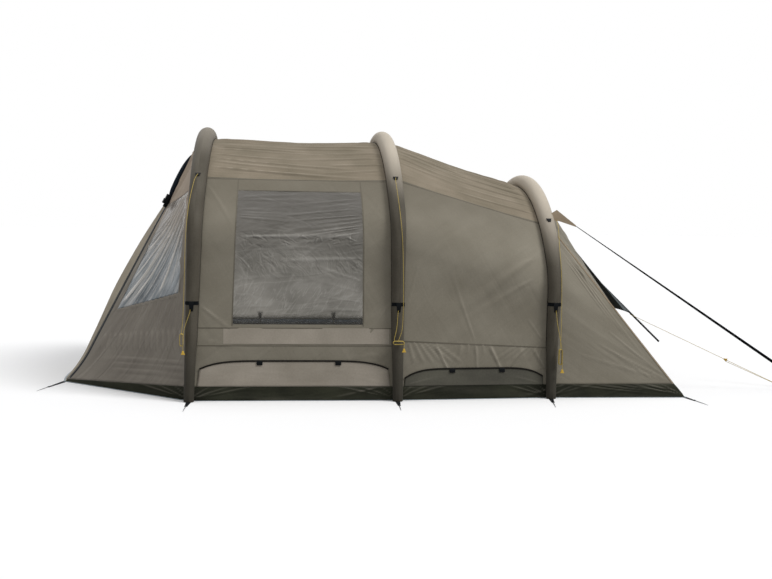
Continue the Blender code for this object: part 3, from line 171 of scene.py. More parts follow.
# The guy lines. Each near air beam carries a braided polyester line, 3.5 mm thick: its upper end is
# tied to the clip high on the sleeve, its spare length is folded into a hank that hangs from the
# tab on the leg's band, and a yellow plastic runner hangs on its tail.
CORD_DIAMETER = 0.0035
HANK_LOOPS = 6
HANK_END_RADIUS = 0.0115
HANK_TAIL = 0.045
HANK_PITCH = 0.0044
HANK_END_POINTS = 5
BRAID_STEP = 0.0035
GUY_ROUTES = {
    "front": {
        "upper": (
            (-1.3885, -1.1793, 1.6158), (-1.403, -1.212, 1.59), (-1.414, -1.262, 1.548),
            (-1.436, -1.372, 1.408), (-1.449, -1.437, 1.262), (-1.457, -1.46, 1.1), (-1.461, -1.464, 0.9),
            (-1.466, -1.468, 0.7), (-1.471, -1.478, 0.56), (-1.4765, -1.488, 0.5), (-1.4765, -1.4895, 0.475),
            (-1.4765, -1.5, 0.456)
        ),
        "lower": (
            (-1.418, -1.4915, 0.652), (-1.423, -1.493, 0.625), (-1.44, -1.496, 0.575),
            (-1.456, -1.4965, 0.525), (-1.464, -1.4955, 0.49), (-1.465, -1.495, 0.4725)
        ),
        "down": (0, 0, -1), "side": (-1, 0, 0), "hank": 0.087
    },
    "middle": {
        "upper": (
            (0.057, -1.1793, 1.6158), (0.052, -1.212, 1.592), (0.052, -1.2725, 1.549), (0.06, -1.385, 1.411),
            (0.07, -1.466, 1.262), (0.08, -1.485, 1.1), (0.086, -1.493, 0.9), (0.088, -1.499, 0.7),
            (0.082, -1.506, 0.53), (0.064, -1.513, 0.465), (0.056, -1.5165, 0.441), (0.054, -1.528, 0.427)
        ),
        "lower": (
            (0.053, -1.4915, 0.652), (0.05, -1.496, 0.625), (0.044, -1.508, 0.55), (0.033, -1.517, 0.49),
            (0.024, -1.5205, 0.456), (0.026, -1.522, 0.438)
        ),
        "down": (1, 0, 0), "side": (0, 0, -1), "hank": 0.079
    },
    "rear": {
        "upper": (
            (1.348, -0.9532, 1.324), (1.344, -0.98, 1.303), (1.336, -1.05, 1.265), (1.318, -1.14, 1.19),
            (1.3, -1.23, 1.105), (1.288, -1.315, 1.005), (1.282, -1.37, 0.88), (1.282, -1.386, 0.7),
            (1.281, -1.395, 0.55), (1.274, -1.412, 0.42), (1.2665, -1.422, 0.365), (1.2665, -1.434, 0.342)
        ),
        "lower": (
            (1.24, -1.3905, 0.652), (1.242, -1.396, 0.625), (1.25, -1.411, 0.54), (1.264, -1.422, 0.46),
            (1.2765, -1.428, 0.39), (1.278, -1.429, 0.36)
        ),
        "down": (0, 0, -1), "side": (-1, 0, 0), "hank": 0.115
    }
}


def mix(start, end, share):
    return start + (end - start) * share


def smooth_route(points, steps):
    """A smooth curve through the points of a cord's route, with steps parts between each two."""
    route = [Vector(point) for point in points]
    ends = [route[0] * 2 - route[1], *route, route[-1] * 2 - route[-2]]
    made = []
    for i in range(1, len(ends) - 2):
        before, start, end, after = ends[i - 1 : i + 3]
        for step in range(steps):
            t = step / steps
            made.append(
                (
                    start * 2 + (end - before) * t + (before * 2 - start * 5 + end * 4 - after) * t**2
                    + (start * 3 - before - end * 3 + after) * t**3
                ) / 2
            )
    return made + [route[-1]]


def cord_curve(name, points, diameter, finish, shares=None):
    """One open spline through the points, as thick as the cord."""
    curve = bpy.data.curves.new(name, "CURVE")
    curve.dimensions = "3D"
    spline = curve.splines.new("POLY")
    spline.points.add(len(points) - 1)
    for i, point in enumerate(points):
        spline.points[i].co = (*point, 1.0)
        spline.points[i].radius = shares[i] if shares else 1.0
    curve.bevel_depth = diameter / 2
    curve.bevel_resolution = 3
    curve.use_fill_caps = True
    curve.materials.append(finish)
    made = bpy.data.objects.new(name, curve)
    bpy.context.scene.collection.objects.link(made)
    return made


def stadium(turn, straight):
    """A point round a long loop with half-round ends, for a turn of 0 to 1."""
    arc = math.pi * HANK_END_RADIUS
    run = turn % 1 * 2 * (straight + arc)
    for sign in (1, -1):
        if run <= straight:
            return HANK_END_RADIUS * sign, (run - straight / 2) * sign
        run -= straight
        if run <= arc:
            angle = run / HANK_END_RADIUS
            along = straight / 2 + HANK_END_RADIUS * math.sin(angle)
            return HANK_END_RADIUS * math.cos(angle) * sign, along * sign
        run -= arc
    return HANK_END_RADIUS, -straight / 2


def hank_points(entry, down, side, depth, long):
    """The hank's loops as one unbroken line that enters at entry and leaves further down."""
    straight = long - 2 * HANK_END_RADIUS
    whole = 2 * (straight + math.pi * HANK_END_RADIUS)
    marks = [0.0, straight]
    marks += [straight + math.pi * HANK_END_RADIUS * i / HANK_END_POINTS for i in range(1, HANK_END_POINTS)]
    half = [mark / whole for mark in marks]
    turns = half + [share + 0.5 for share in half]
    centre = entry + down * (straight / 2) + side * HANK_END_RADIUS
    points = []
    for loop in range(HANK_LOOPS):
        for share in turns:
            across, along = stadium(share, straight)
            points.append(centre - side * across + down * along + depth * (HANK_PITCH * (loop + share)))
    across, along = stadium(0, straight)
    for reach, turn in ((along, 0), (-along, half[1])):
        points.append(centre - side * across + down * reach + depth * (HANK_PITCH * (HANK_LOOPS + turn)))
    return points


def noise(tree, place, scale, detail, **more):
    """Noise at a place, with scale cells in a metre."""
    values = {"Scale": scale, "Detail": detail, **{key.title(): value for key, value in more.items()}}
    return add(tree, "ShaderNodeTexNoise", values, {"Vector": place}).outputs[0]


def two_tones(tree, pattern, dark, light, low=0.0, high=1.0):
    """A pattern's values as shades from dark to light."""
    tone = add(tree, "ShaderNodeValToRGB", links={0: pattern})
    for end, place, shade in zip(tone.color_ramp.elements, (low, high), (dark, light)):
        end.position, end.color = place, linear(shade)
    return tone.outputs[0]


def raised(tree, pattern, strength, depth, below=None):
    """The relief of a pattern, laid over the relief below it."""
    links = {"Height": pattern, "Normal": below} if below else {"Height": pattern}
    return add(tree, "ShaderNodeBump", {"Strength": strength, "Distance": depth}, links).outputs[0]


def dress(tree, shader, colour, relief=None):
    """Gives a shader its colour and its relief."""
    tree.links.new(colour, shader.inputs["Base Color"])
    if relief:
        tree.links.new(relief, shader.inputs["Normal"])


def grained(name, dark, light, scale, detail, relief=None, **sockets):
    """A moulded, drawn or welded finish: fine noise between two shades, on the object's coordinates."""
    made, tree, shader = new_material(name, **sockets)
    grain = noise(tree, add(tree, "ShaderNodeTexCoord").outputs["Object"], scale, detail)
    dress(tree, shader, two_tones(tree, grain, dark, light), relief and raised(tree, grain, *relief))
    return made


# Braided polyester: yellow strands with a dull tracer, in a braid 3.5 mm long, drawn on the
# object's own coordinates, because a cord this thin shows no more than its mottle.
cord_finish, tree, shader = new_material("braided_polyester_cord", roughness=0.72, sheen_weight=0.2)
place = add(tree, "ShaderNodeTexCoord").outputs["Object"]
strands = add(tree, "ShaderNodeTexVoronoi", {"Scale": 1 / BRAID_STEP}, {"Vector": place}).outputs["Distance"]
dress(tree, shader, two_tones(tree, strands, "d9bd52", "8f7a35"), raised(tree, strands, 0.6, 0.0004))

# Moulded acetal, yellow: glossy enough to catch the light, with a fine tool-mark grain.
runner_finish = grained(
    "moulded_yellow_acetal", "cfa536", "e3bd4a", 900.0, 2.0, (0.15, 0.0003), roughness=0.38
)


def put(piece, body, slot, finish, *nodes):
    """Gives a finished piece its material and body, and hides the nodes that it stands for. Its slot is not
    used.
    """
    if finish:
        piece.data.materials.clear()
        piece.data.materials.append(finish)
    if body:
        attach(piece, body)
    if nodes:
        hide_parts(*nodes)
    return piece


def carry(node, finish):
    """Gives a CAD node that stays its material."""
    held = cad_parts[node]
    if held.material_slots:
        for place in held.material_slots:
            place.material = finish
    else:
        held.data.materials.append(finish)
    return held


outward = Vector((0, -1, 0))
for name, route in GUY_ROUTES.items():
    upper = smooth_route(route["upper"], 4)
    line = cord_curve("guy_upper_" + name, upper, CORD_DIAMETER, cord_finish)
    put(line, "tent", "cord", None, "guy_line_" + name)
    down, side = Vector(route["down"]), Vector(route["side"])
    loops = hank_points(Vector(route["lower"][-1]), down, side, outward, route["hank"])
    tail = [loops[-1] + down * HANK_TAIL]
    if name == "middle":
        drop = Vector((CORD_DIAMETER * 2.5, -HANK_PITCH / 2, -CORD_DIAMETER * 2))
        tail = [loops[-1] + drop / 2, loops[-1] + drop, loops[-1] + drop + Vector((0, 0, -HANK_TAIL))]
    points = smooth_route(route["lower"], 3)[:-1] + loops + tail
    hank = cord_curve("guy_hank_loops_" + name, points, CORD_DIAMETER, cord_finish)
    put(hank, "tent", "cord", None, "guy_hank_" + name)
    runner = carry("guy_runner_" + name, runner_finish)

# The vent hood's guy: the same line, from the hood's tip through its runner to an eye round the
# peg, and a short strand that comes back up to the runner, where it is knotted. Taut, so straight.
WELD_GAP = 0.00002
VENT_GUY_STEPS = 12
VENT_GUY_START = (2.2949, 0.0, 0.5122)
VENT_GUY_EYE = (
    (3.2392, -0.8565, 0.022), (3.2405, -0.8596, 0.0208), (3.2392, -0.863, 0.0203), (3.236, -0.8645, 0.0208),
    (3.2328, -0.8635, 0.022)
)
VENT_GUY_BACK = ((3.1433, -0.7785, 0.0656), (3.0239, -0.6651, 0.1237), (2.9343, -0.5801, 0.1673))
guy_start, guy_eye = Vector(VENT_GUY_START), [Vector(point) for point in VENT_GUY_EYE]
line = [mix(guy_start, guy_eye[0], i / VENT_GUY_STEPS) for i in range(VENT_GUY_STEPS)] + guy_eye
back = smooth_route([guy_eye[-1], *VENT_GUY_BACK], 5)


def welded_tube(name, points, diameter, finish):
    """The same tube as a closed mesh."""
    pick(cord_curve(name, points, diameter, finish))
    bpy.ops.object.convert(target="MESH")
    made = bpy.context.object
    bpy.ops.object.mode_set(mode="EDIT")
    bpy.ops.mesh.select_all(action="SELECT")
    bpy.ops.mesh.remove_doubles(threshold=WELD_GAP)
    bpy.ops.mesh.normals_make_consistent(inside=False)
    bpy.ops.object.mode_set(mode="OBJECT")
    return made


vent_line = welded_tube("vent_guy_line", line, CORD_DIAMETER, cord_finish)
put(vent_line, None, "cord", None, "vent_guy")
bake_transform(vent_line)
vent_return = welded_tube("vent_guy_return", back, CORD_DIAMETER, cord_finish)
put(vent_return, None, "cord", None, "vent_guy")
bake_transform(vent_return)
vent_runner = carry("vent_guy_runner", runner_finish)

# The storm strap: black polyester webbing, 25 mm wide, sewn to the storm tab on the rear beam. It
# leaves the tab on edge, turns flat along its length, and a steel peg's hook goes through its end.
STRAP_START = (1.505, -0.9506, 1.2771)
STRAP_END = (3.42, -1.06, 0.022)
STRAP_WIDTH = 0.025
STRAP_TWIST = math.radians(62)
STRAP_FLAT_SHARE = 0.93
STRAP_SLOT_LENGTH = 0.012
STRAP_SLOT_WIDTH = 0.008
STRAP_END_BAR = 0.01
STRAP_STEPS = 120
WEBBING = 0.0018
WEAVE_RIB = 0.0022


def grid_faces(rows, columns, around=False, skip=()):
    """The quads of a grid of points, counted row by row. Cells in skip are left out."""
    wide = columns if around else columns - 1
    return [
        (
            i * columns + j, i * columns + (j + 1) % columns, (i + 1) * columns + (j + 1) % columns,
            (i + 1) * columns + j
        ) for i in range(rows - 1) for j in range(wide) if (i, j) not in skip
    ]


def grid_mesh(name, points, uv=None, around=False, skip=(), caps=False):
    """A smooth mesh over a grid of points, whose UV map is in metres."""
    rows, columns = len(points), len(points[0])
    flat = np.array(points, float).reshape(-1, 3)
    faces = grid_faces(rows, columns, around, skip)
    if caps:
        faces += [tuple(reversed(range(columns))), tuple(range((rows - 1) * columns, rows * columns))]
    mesh = bpy.data.meshes.new(name)
    mesh.from_pydata([tuple(point) for point in flat], [], faces)
    if uv is not None:
        layer = mesh.uv_layers.new(name="cloth")
        corners = np.empty(len(mesh.loops), np.int32)
        mesh.loops.foreach_get("vertex_index", corners)
        spread = np.array(uv, float).reshape(-1, 2)
        layer.data.foreach_set("uv", spread[corners].astype(np.float32).ravel())
    mesh.shade_smooth()
    made = bpy.data.objects.new(name, mesh)
    bpy.context.scene.collection.objects.link(made)
    return made


def weld(made, gap, holes=None):
    """Welds points nearer than gap, closes the holes asked for and turns the faces outwards."""
    shape = bmesh.new()
    shape.from_mesh(made.data)
    bmesh.ops.remove_doubles(shape, verts=shape.verts, dist=gap)
    if holes:
        bmesh.ops.holes_fill(shape, edges=[edge for edge in shape.edges if edge.is_boundary and holes(edge)])
    bmesh.ops.recalc_face_normals(shape, faces=shape.faces)
    shape.to_mesh(made.data)
    shape.free()
    return made


def ribbon(name, centres, sides, faces_out, width, thick):
    """A flat band along a line of points: sides point across it, and faces_out away from its face."""
    rows, uv = [], []
    run = 0.0
    for i, centre in enumerate(centres):
        wide = width[i] if hasattr(width, "__len__") else width
        run += (centre - centres[i - 1]).length if i else 0.0
        side, out = sides[i] * (wide / 2), faces_out[i] * (thick / 2)
        rows.append([centre - side - out, centre + side - out, centre + side + out, centre - side + out])
        uv.append([(-wide / 2, run), (wide / 2, run), (wide / 2, run), (-wide / 2, run)])
    made = grid_mesh(name, rows, uv, around=True, caps=True)
    made.data.set_sharp_from_angle(angle=math.radians(40))
    return weld(made, thick / 50)


def ribs_of(tree, place, step, bend, turn):
    """Straight ribs across (X) or along (Y) the cloth, one in each step."""
    values = {"Scale": 0.314 / step, "Distortion": bend, "Detail": 1.0}
    return add(tree, "ShaderNodeTexWave", values, {"Vector": place}, bands_direction=turn).outputs["Fac"]


# Woven polyester webbing: near black, with ribs across it. A rib is about 1.1 mm in the real one and
# is drawn twice as coarse, so that it shows.
webbing_finish, tree, shader = new_material(
    "woven_black_webbing", roughness=0.8, specular_ior_level=0.08, sheen_weight=0.02
)
ribs = ribs_of(tree, add(tree, "ShaderNodeUVMap", uv_map="cloth").outputs[0], WEAVE_RIB, 0.4, "Y")
dress(tree, shader, two_tones(tree, ribs, "05070a", "0e1215"), raised(tree, ribs, 0.5, 0.0005))

strap_start, strap_end = Vector(STRAP_START), Vector(STRAP_END)
way = (strap_end - strap_start).normalized()
level = way.cross(Vector((0, 0, 1))).normalized()
upright = level.cross(way).normalized()
centres, sides, outs = [], [], []
for i in range(STRAP_STEPS + 1):
    share = i / STRAP_STEPS
    angle = STRAP_TWIST * min(share, (1 - share) / (1 - STRAP_FLAT_SHARE))
    centres.append(mix(strap_start, strap_end, share))
    sides.append(level * math.cos(angle) + upright * math.sin(angle))
    outs.append(way.cross(sides[-1]).normalized())
strap = ribbon("storm_strap_webbing", centres, sides, outs, STRAP_WIDTH, WEBBING)


def cut(piece, cutter):
    """Cuts one piece by another and applies it."""
    hole = piece.modifiers.new("cut", "BOOLEAN")
    hole.operation = "DIFFERENCE"
    hole.object = cutter
    hole.solver = "EXACT"
    pick(piece)
    bpy.ops.object.modifier_apply(modifier=hole.name)
    bpy.data.objects.remove(cutter, do_unlink=True)


def cut_slot(piece, place, axes, deep):
    """Cuts the slot for a peg's hook through a strap's end."""
    cutter = added(bpy.ops.mesh.primitive_cube_add, size=1.0)
    size = Matrix.Diagonal((STRAP_SLOT_LENGTH, STRAP_SLOT_WIDTH, deep, 1))
    cutter.data.transform(Matrix.Translation(place) @ Matrix(axes).transposed().to_4x4() @ size)
    cut(piece, cutter)


slot_place = strap_end - way * (STRAP_END_BAR + STRAP_SLOT_LENGTH / 2)
cut_slot(strap, slot_place, (way, level, upright), STRAP_WIDTH)
put(strap, "tent", "webbing", webbing_finish, "storm_strap")


# The pegs: round steel wire, 5 mm thick, zinc plated and dulled by use. Each has a hook at its top.
# Ten lie with their hooks through the webbing loops round the tent, and two hold the strap and guy.
PEG_DIAMETER = 0.005
PEG_LENGTH = 0.19
PEG_TIP = 8
HANDS = {"left": -1, "right": 1}
BASE = 0.003
SEAM_GAP = 0.0004
END_BAR = 0.01
HOOK_BACK = 0.0035
ANCHOR_LIFT = 0.022
STORM_PEG_PLACE = (3.4087, -1.0594)
VENT_PEG_PLACE = (3.236, -0.86)
STRAPS = {
    "foot_peg_front": ((-1.425, 1.5), (-0.03, 1.0), 0.2),
    "foot_peg_middle": ((0.057, 1.5), (-0.06, 1.0), 0.2),
    "foot_peg_rear": ((1.212, 1.407), (-0.18, 1.0), 0.2),
    "corner_peg_front": ((-2.4565, 0.52), (-0.24, 1.0), 0.3),
    "corner_peg_rear": ((2.2545, 1.381), (0.09, 1.0), 0.16)
}

# Zinc-plated steel wire, drawn: fine marks along the wire and dull patches where it has been used.
steel_finish, tree, shader = new_material("zinc_plated_steel_wire", metallic=1.0, roughness=0.42)
wear = noise(tree, add(tree, "ShaderNodeTexCoord").outputs["Object"], 60.0, 4.0)
dress(tree, shader, two_tones(tree, wear, "4c4f50", "8d9192"))
dull = add(tree, "ShaderNodeMapRange", {"To Min": 0.3, "To Max": 0.6}, {"Value": wear})
tree.links.new(dull.outputs[0], shader.inputs["Roughness"])


def wire_peg(name, points):
    """A peg of bent wire, rounded at its bends and pointed at its foot."""
    route = smooth_route(points, 5)
    shares = [1.0] * (len(route) - PEG_TIP) + [mix(1.0, 0.3, (i + 1) / PEG_TIP) for i in range(PEG_TIP)]
    made = cord_curve(name + "_wire", route, PEG_DIAMETER, steel_finish, shares)
    return put(made, "tent", "steel", None, name)


radius = PEG_DIAMETER / 2
for name, (root, turn, long) in STRAPS.items():
    for side, hand in HANDS.items():
        along = Vector((turn[0], turn[1] * hand, 0)).normalized()
        end = Vector((root[0], root[1] * hand, 0)) + along * long
        over = BASE + SEAM_GAP + radius
        hook = END_BAR + SEAM_GAP + radius
        path = (
            (-hook, radius / 3), (-hook, over - radius / 2), (-hook + radius, over + radius / 3), (0, over),
            (HOOK_BACK, over - radius / 4), (HOOK_BACK + radius * 4, radius), (PEG_LENGTH * 0.6, radius),
            (PEG_LENGTH, radius / 2)
        )
        wire_peg(name + "_" + side, [end + along * run + Vector((0, 0, rise)) for run, rise in path])
for name, place in (("storm_peg", STORM_PEG_PLACE), ("vent_guy_peg", VENT_PEG_PLACE)):
    flat = (way if name == "storm_peg" else (guy_eye[0] - guy_start)).copy()
    flat.z = 0
    flat.normalize()
    start = Vector((*place, 0))
    path = (
        (0.8, 1.6), (0.6, 1.88), (0.3, 1.9), (0, 1.6), (0, 0.8), (0, 0.34), (0.22, 0.12),
        (PEG_LENGTH * 0.6 / ANCHOR_LIFT, radius / ANCHOR_LIFT),
        (PEG_LENGTH / ANCHOR_LIFT, radius / ANCHOR_LIFT)
    )
    wire_peg(
        name, [start + flat * (run * ANCHOR_LIFT) + Vector((0, 0, rise * ANCHOR_LIFT)) for run, rise in path]
    )

# The air beams. Each is a welded bladder in a sewn polyester sleeve: two legs that flare at the foot,
# tight shoulders and a wide crown, 72 mm thick at the foot and 132 mm at the top. The rear one is
# lower and leans back. The sleeve is sewn shut under the fly, with piping along both its seams.
TALL_HEIGHT = 2.05
REAR_HEIGHT = 1.71
HALF_WIDTH = 1.5
REAR_HALF_WIDTH = 1.407
FOOT_FLARE = 0.07
FOOT_STRAIGHT = 0.04
SHOULDER_RADIUS = 0.42
CROWN_TUBE_RADIUS = 0.066
FOOT_TUBE_RADIUS = 0.036
SEAM_ANGLE = math.radians(52)
WINDOW_TOP_ANGLE = math.radians(47.5)
CLOTH = 0.0012
FLOOR = BASE + SEAM_GAP
HEM = FLOOR + CLOTH / 2
THREAD_STEP = 0.003


class Beam:
    """One air beam's centre line, read at a height on its leg or at an angle of its arch."""

    def __init__(self, name, foot_x, lean, height, half_width, leg, steps):
        self.name, self.foot_x, self.lean, self.leg, self.steps = name, foot_x, lean, leg, steps
        self.top = height - CROWN_TUBE_RADIUS
        self.leg_y = half_width - FOOT_FLARE
        self.inset = self.leg_y - SHOULDER_RADIUS
        rise = self.top - leg
        spare = self.inset**2 + rise**2 - SHOULDER_RADIUS**2
        self.crown_radius = spare / (2 * (rise - SHOULDER_RADIUS))
        self.crown_z = self.top - self.crown_radius
        self.shoulder_angle = math.atan2(leg - self.crown_z, self.inset)

    def x(self, z):
        return self.foot_x + self.lean * max(z - FOOT_STRAIGHT, 0.0) / (self.top - FOOT_STRAIGHT)

    def radius(self, z):
        return FOOT_TUBE_RADIUS + (CROWN_TUBE_RADIUS - FOOT_TUBE_RADIUS) * z / self.top

    def on_leg(self, z):
        """(y, z, outward y, outward z) of the centre line at a height on the leg."""
        length = self.leg - FOOT_STRAIGHT
        below = 1 - max(z - FOOT_STRAIGHT, 0.0) / length
        slope = 2 * FOOT_FLARE * below / length if z > FOOT_STRAIGHT else 0.0
        long = math.hypot(1, slope)
        return self.leg_y + FOOT_FLARE * below**2, z, 1 / long, slope / long

    def at(self, angle):
        out_y, out_z = math.cos(angle), math.sin(angle)
        if angle <= self.shoulder_angle:
            centre_y, centre_z, radius = self.inset, self.leg, SHOULDER_RADIUS
        else:
            centre_y, centre_z, radius = 0.0, self.crown_z, self.crown_radius
        return centre_y + radius * out_y, centre_z + radius * out_z, out_y, out_z

    def station(self, place, low):
        """The same at a place counted up the seams: 4 is the top of the leg, 9 the roof seam, 13 the apex."""
        if place <= 4:
            return self.on_leg(float(np.interp(place, range(5), (low, *self.steps, self.leg))))
        angles = (0, self.shoulder_angle, WINDOW_TOP_ANGLE, SEAM_ANGLE, math.pi / 2)
        return self.at(float(np.interp(place, (4, 7, 8, 9, 13), angles)))

    def surface(self, station, out, across=0.0, hand=-1):
        y, z, out_y, out_z = station
        return Vector((self.x(z) + across, hand * (y + out_y * out), z + out_z * out))


FRONT = Beam("front", -1.425, 0.045, TALL_HEIGHT, HALF_WIDTH, 1.1, (0.31, 0.59, 0.78))
MIDDLE = Beam("middle", 0.057, 0.0, TALL_HEIGHT, HALF_WIDTH, 1.1, (0.31, 0.59, 0.78))
REAR = Beam("rear", 1.212, 0.068, REAR_HEIGHT, REAR_HALF_WIDTH, 0.75, (0.31, 0.46, 0.61))
BEAMS = (FRONT, MIDDLE, REAR)
PAINTED_FOLD_LIGHT = 2.6
CLOUDS = 3.0
MOTTLE = 0.35


def stretched(tree, place, turn, count, stretch):
    """Places turned by some degrees, with count cells in a metre, each stretch times longer than wide."""
    values = {"Rotation": (0, 0, math.radians(turn)), "Scale": (stretch / count, 1 / count, 1.0)}
    return add(tree, "ShaderNodeMapping", values, {"Vector": place}, vector_type="TEXTURE").outputs[0]


def ranged(tree, source, low, high, most=1.0, **settings):
    """How far a value is from low to high, as 0 to most."""
    values = {"From Min": low, "From Max": high, "To Max": most}
    return add(tree, "ShaderNodeMapRange", values, {"Value": source}, **settings).outputs[0]


def tinted(tree, share, below, shade):
    """A share of a shade laid over the colour below."""
    return add(tree, "ShaderNodeMix", {7: linear(shade)}, {0: share, 6: below}, data_type="RGBA").outputs[2]


def times(tree, first, second=None, by=1.0):
    """Two patterns, or a pattern and a number, multiplied."""
    links = {0: first, 1: second} if second else {0: first}
    return add(tree, "ShaderNodeMath", {1: by}, links, operation="MULTIPLY").outputs[0]


def scaled_sum(tree, first, by, second):
    """One pattern scaled, and another added."""
    return add(tree, "ShaderNodeMath", {1: by}, {0: first, 2: second}, operation="MULTIPLY_ADD").outputs[0]


def cloth_finish(name, dark, light, rough=0.85, sheen=0.1, pull=()):
    """Woven cloth on its UV map, in metres: a plain weave, slubs, faint fading and fine wrinkles. Each pull
    is (turn in degrees, wrinkles in a metre, how many times longer than wide, height). Folds carry painted
    light on one side and painted shade on the other, by the fold attribute of the panel."""
    made, tree, shader = new_material(
        name, roughness=rough, specular_ior_level=0.12, sheen_weight=sheen, sheen_roughness=0.4
    )
    place = add(tree, "ShaderNodeUVMap", uv_map="cloth").outputs[0]
    slubs = noise(tree, place, 70.0, 4.0, roughness=0.6)
    both = scaled_sum(tree, slubs, MOTTLE, noise(tree, place, CLOUDS, 2.0))
    tone = two_tones(tree, both, dark, light, 0.38 + MOTTLE * 0.4, 0.66 + MOTTLE * 0.6)
    weave = times(tree, *(ribs_of(tree, place, THREAD_STEP, 0.3, turn) for turn in ("X", "Y")))
    links = {6: tone, 7: weave}
    shade = add(tree, "ShaderNodeMix", {0: 0.06}, links, data_type="RGBA", blend_type="OVERLAY").outputs[2]
    folded = add(tree, "ShaderNodeAttribute", attribute_name="fold").outputs["Fac"]
    for tint, most in (("e6dccd", PAINTED_FOLD_LIGHT), ("1c1a16", -PAINTED_FOLD_LIGHT)):
        shade = tinted(tree, ranged(tree, folded, 0.0, most), shade, tint)
    relief = raised(tree, scaled_sum(tree, slubs, 0.5, weave), 0.2, 0.0006)
    for turn, count, stretch, high in pull:
        turned = stretched(tree, place, turn, count, stretch)
        wrinkle = noise(tree, turned, 1.0, 2.5, roughness=0.45, distortion=0.5)
        relief = raised(tree, wrinkle, 1.0, high, relief)
    dress(tree, shader, shade, relief)
    return made


def painted_light_by_height(finish, low, high, share, painted_tone):
    """Cloth whose colour changes between two heights: painted light where it turns paler, and painted shade
    where it turns darker, for how much light falls there.
    """
    tree = finish.node_tree
    shader = tree.nodes["Principled BSDF"]
    below = shader.inputs["Base Color"].links[0].from_socket
    place = add(tree, "ShaderNodeTexCoord").outputs["Object"]
    up = add(tree, "ShaderNodeSeparateXYZ", links={0: place}).outputs["Z"]
    share = ranged(tree, up, low, high, share, interpolation_type="SMOOTHSTEP")
    dress(tree, shader, tinted(tree, share, below, painted_tone))
    return finish


# Coated polyester in a plain weave, taupe. Its thread is 0.3 mm and is drawn at 3 mm, so that it shows.
# The crowns are made paler with painted light, and the legs darker towards the foot with painted shade.
SLEEVE_PAINTED_LIGHT = {"front": (1.7, 2.1, 0.3), "middle": (1.4, 1.9, 1.0), "rear": (0.95, 1.55, 1.0)}
sleeve_finishes = {}
for name, (low, high, share) in SLEEVE_PAINTED_LIGHT.items():
    finish = cloth_finish(
        "taupe_polyester_sleeve_" + name, "504b41", "5f5a50", rough=0.6, sheen=0.05,
        pull=((90, 14, 5, 0.005),)
    )
    painted_light_by_height(finish, low, high, share, "c2b8a8")
    # Painted shade: the legs darken towards the foot.
    sleeve_finishes[name] = painted_light_by_height(finish, 0.6, 0.1, 0.7, "35332d")
piping_finish = cloth_finish("dark_sewn_piping", "191714", "24211c", rough=0.8, sheen=0.0)

# Thermoplastic polyurethane film, milky: smooth, with a soft gloss.
bladder_finish = grained("milky_polyurethane_film", "b4b7b9", "cfd2d2", 14.0, 3.0, roughness=0.3)

# Black acetal, injection moulded, with a fine spark-eroded grain.
fitting_finish = grained(
    "moulded_black_acetal", "030507", "0a0d10", 700.0, 2.0, (0.2, 0.0002), roughness=0.45,
    specular_ior_level=0.12
)

BESIDE_TUBE_Z = 0.46
BEHIND_FOOT_Z = 0.16
FLY_DEPTH_SHARE = 0.45
FLANK_GAP = 0.0012
VALVE_Z = 0.26
VALVE_HOLE_RADIUS = 0.0255
VALVE_HOLE_DEPTH = 0.04
VALVE_RADIUS = 0.015
VALVE_FLANGE_RADIUS = 0.024
VALVE_FLANGE_DEPTH = 0.003
VALVE_REACH = 0.01
BLADDER_LIFT = 0.012
BLADDER_GAP = 0.005
SLEEVE_SIDES = 56
PIPING_DIAMETER = 0.0055
PIPING_FOOT = 0.12
SHOULDER_RIPPLE, SHOULDER_RIPPLES = 0.0016, 95
SEAM_PUCKER, SEAM_PUCKERS = 0.0007, 310
FOOT_GATHER, FOOT_GATHERS = 0.0012, 9
SLEEVE_EASE = 0.0006
ARCH_STEPS = 44
LEG_STEPS = 64


def ease(value, low, high):
    share = min(max((value - low) / (high - low), 0.0), 1.0)
    return share * share * (3 - 2 * share)


def fly_edge(beam, station, facing, hand, over=0.0):
    """Where the fly meets a sleeve: on its front flank (facing -1) or its rear flank (facing +1)."""
    z = station[1]
    radius = beam.radius(z)
    behind = radius + CLOTH / 2 + SEAM_GAP
    depth = behind + (FLY_DEPTH_SHARE * radius - behind) * ease(z, BEHIND_FOOT_Z, BESIDE_TUBE_Z)
    face = depth - CLOTH / 2 - SEAM_GAP
    reach = math.sqrt(max(radius**2 - face**2, 0.0)) + FLANK_GAP
    return beam.surface(station, over - depth, facing * reach, hand)


def whole_arch(beam, low, leg_steps=LEG_STEPS):
    """Stations from one foot to the other, as (station, hand)."""
    legs = [beam.on_leg(mix(low, beam.leg, i / leg_steps)) for i in range(leg_steps)]
    half = legs + [beam.at(math.pi / 2 * i / ARCH_STEPS) for i in range(ARCH_STEPS + 1)]
    return [(station, -1) for station in half] + [(station, 1) for station in reversed(half[:-1])]


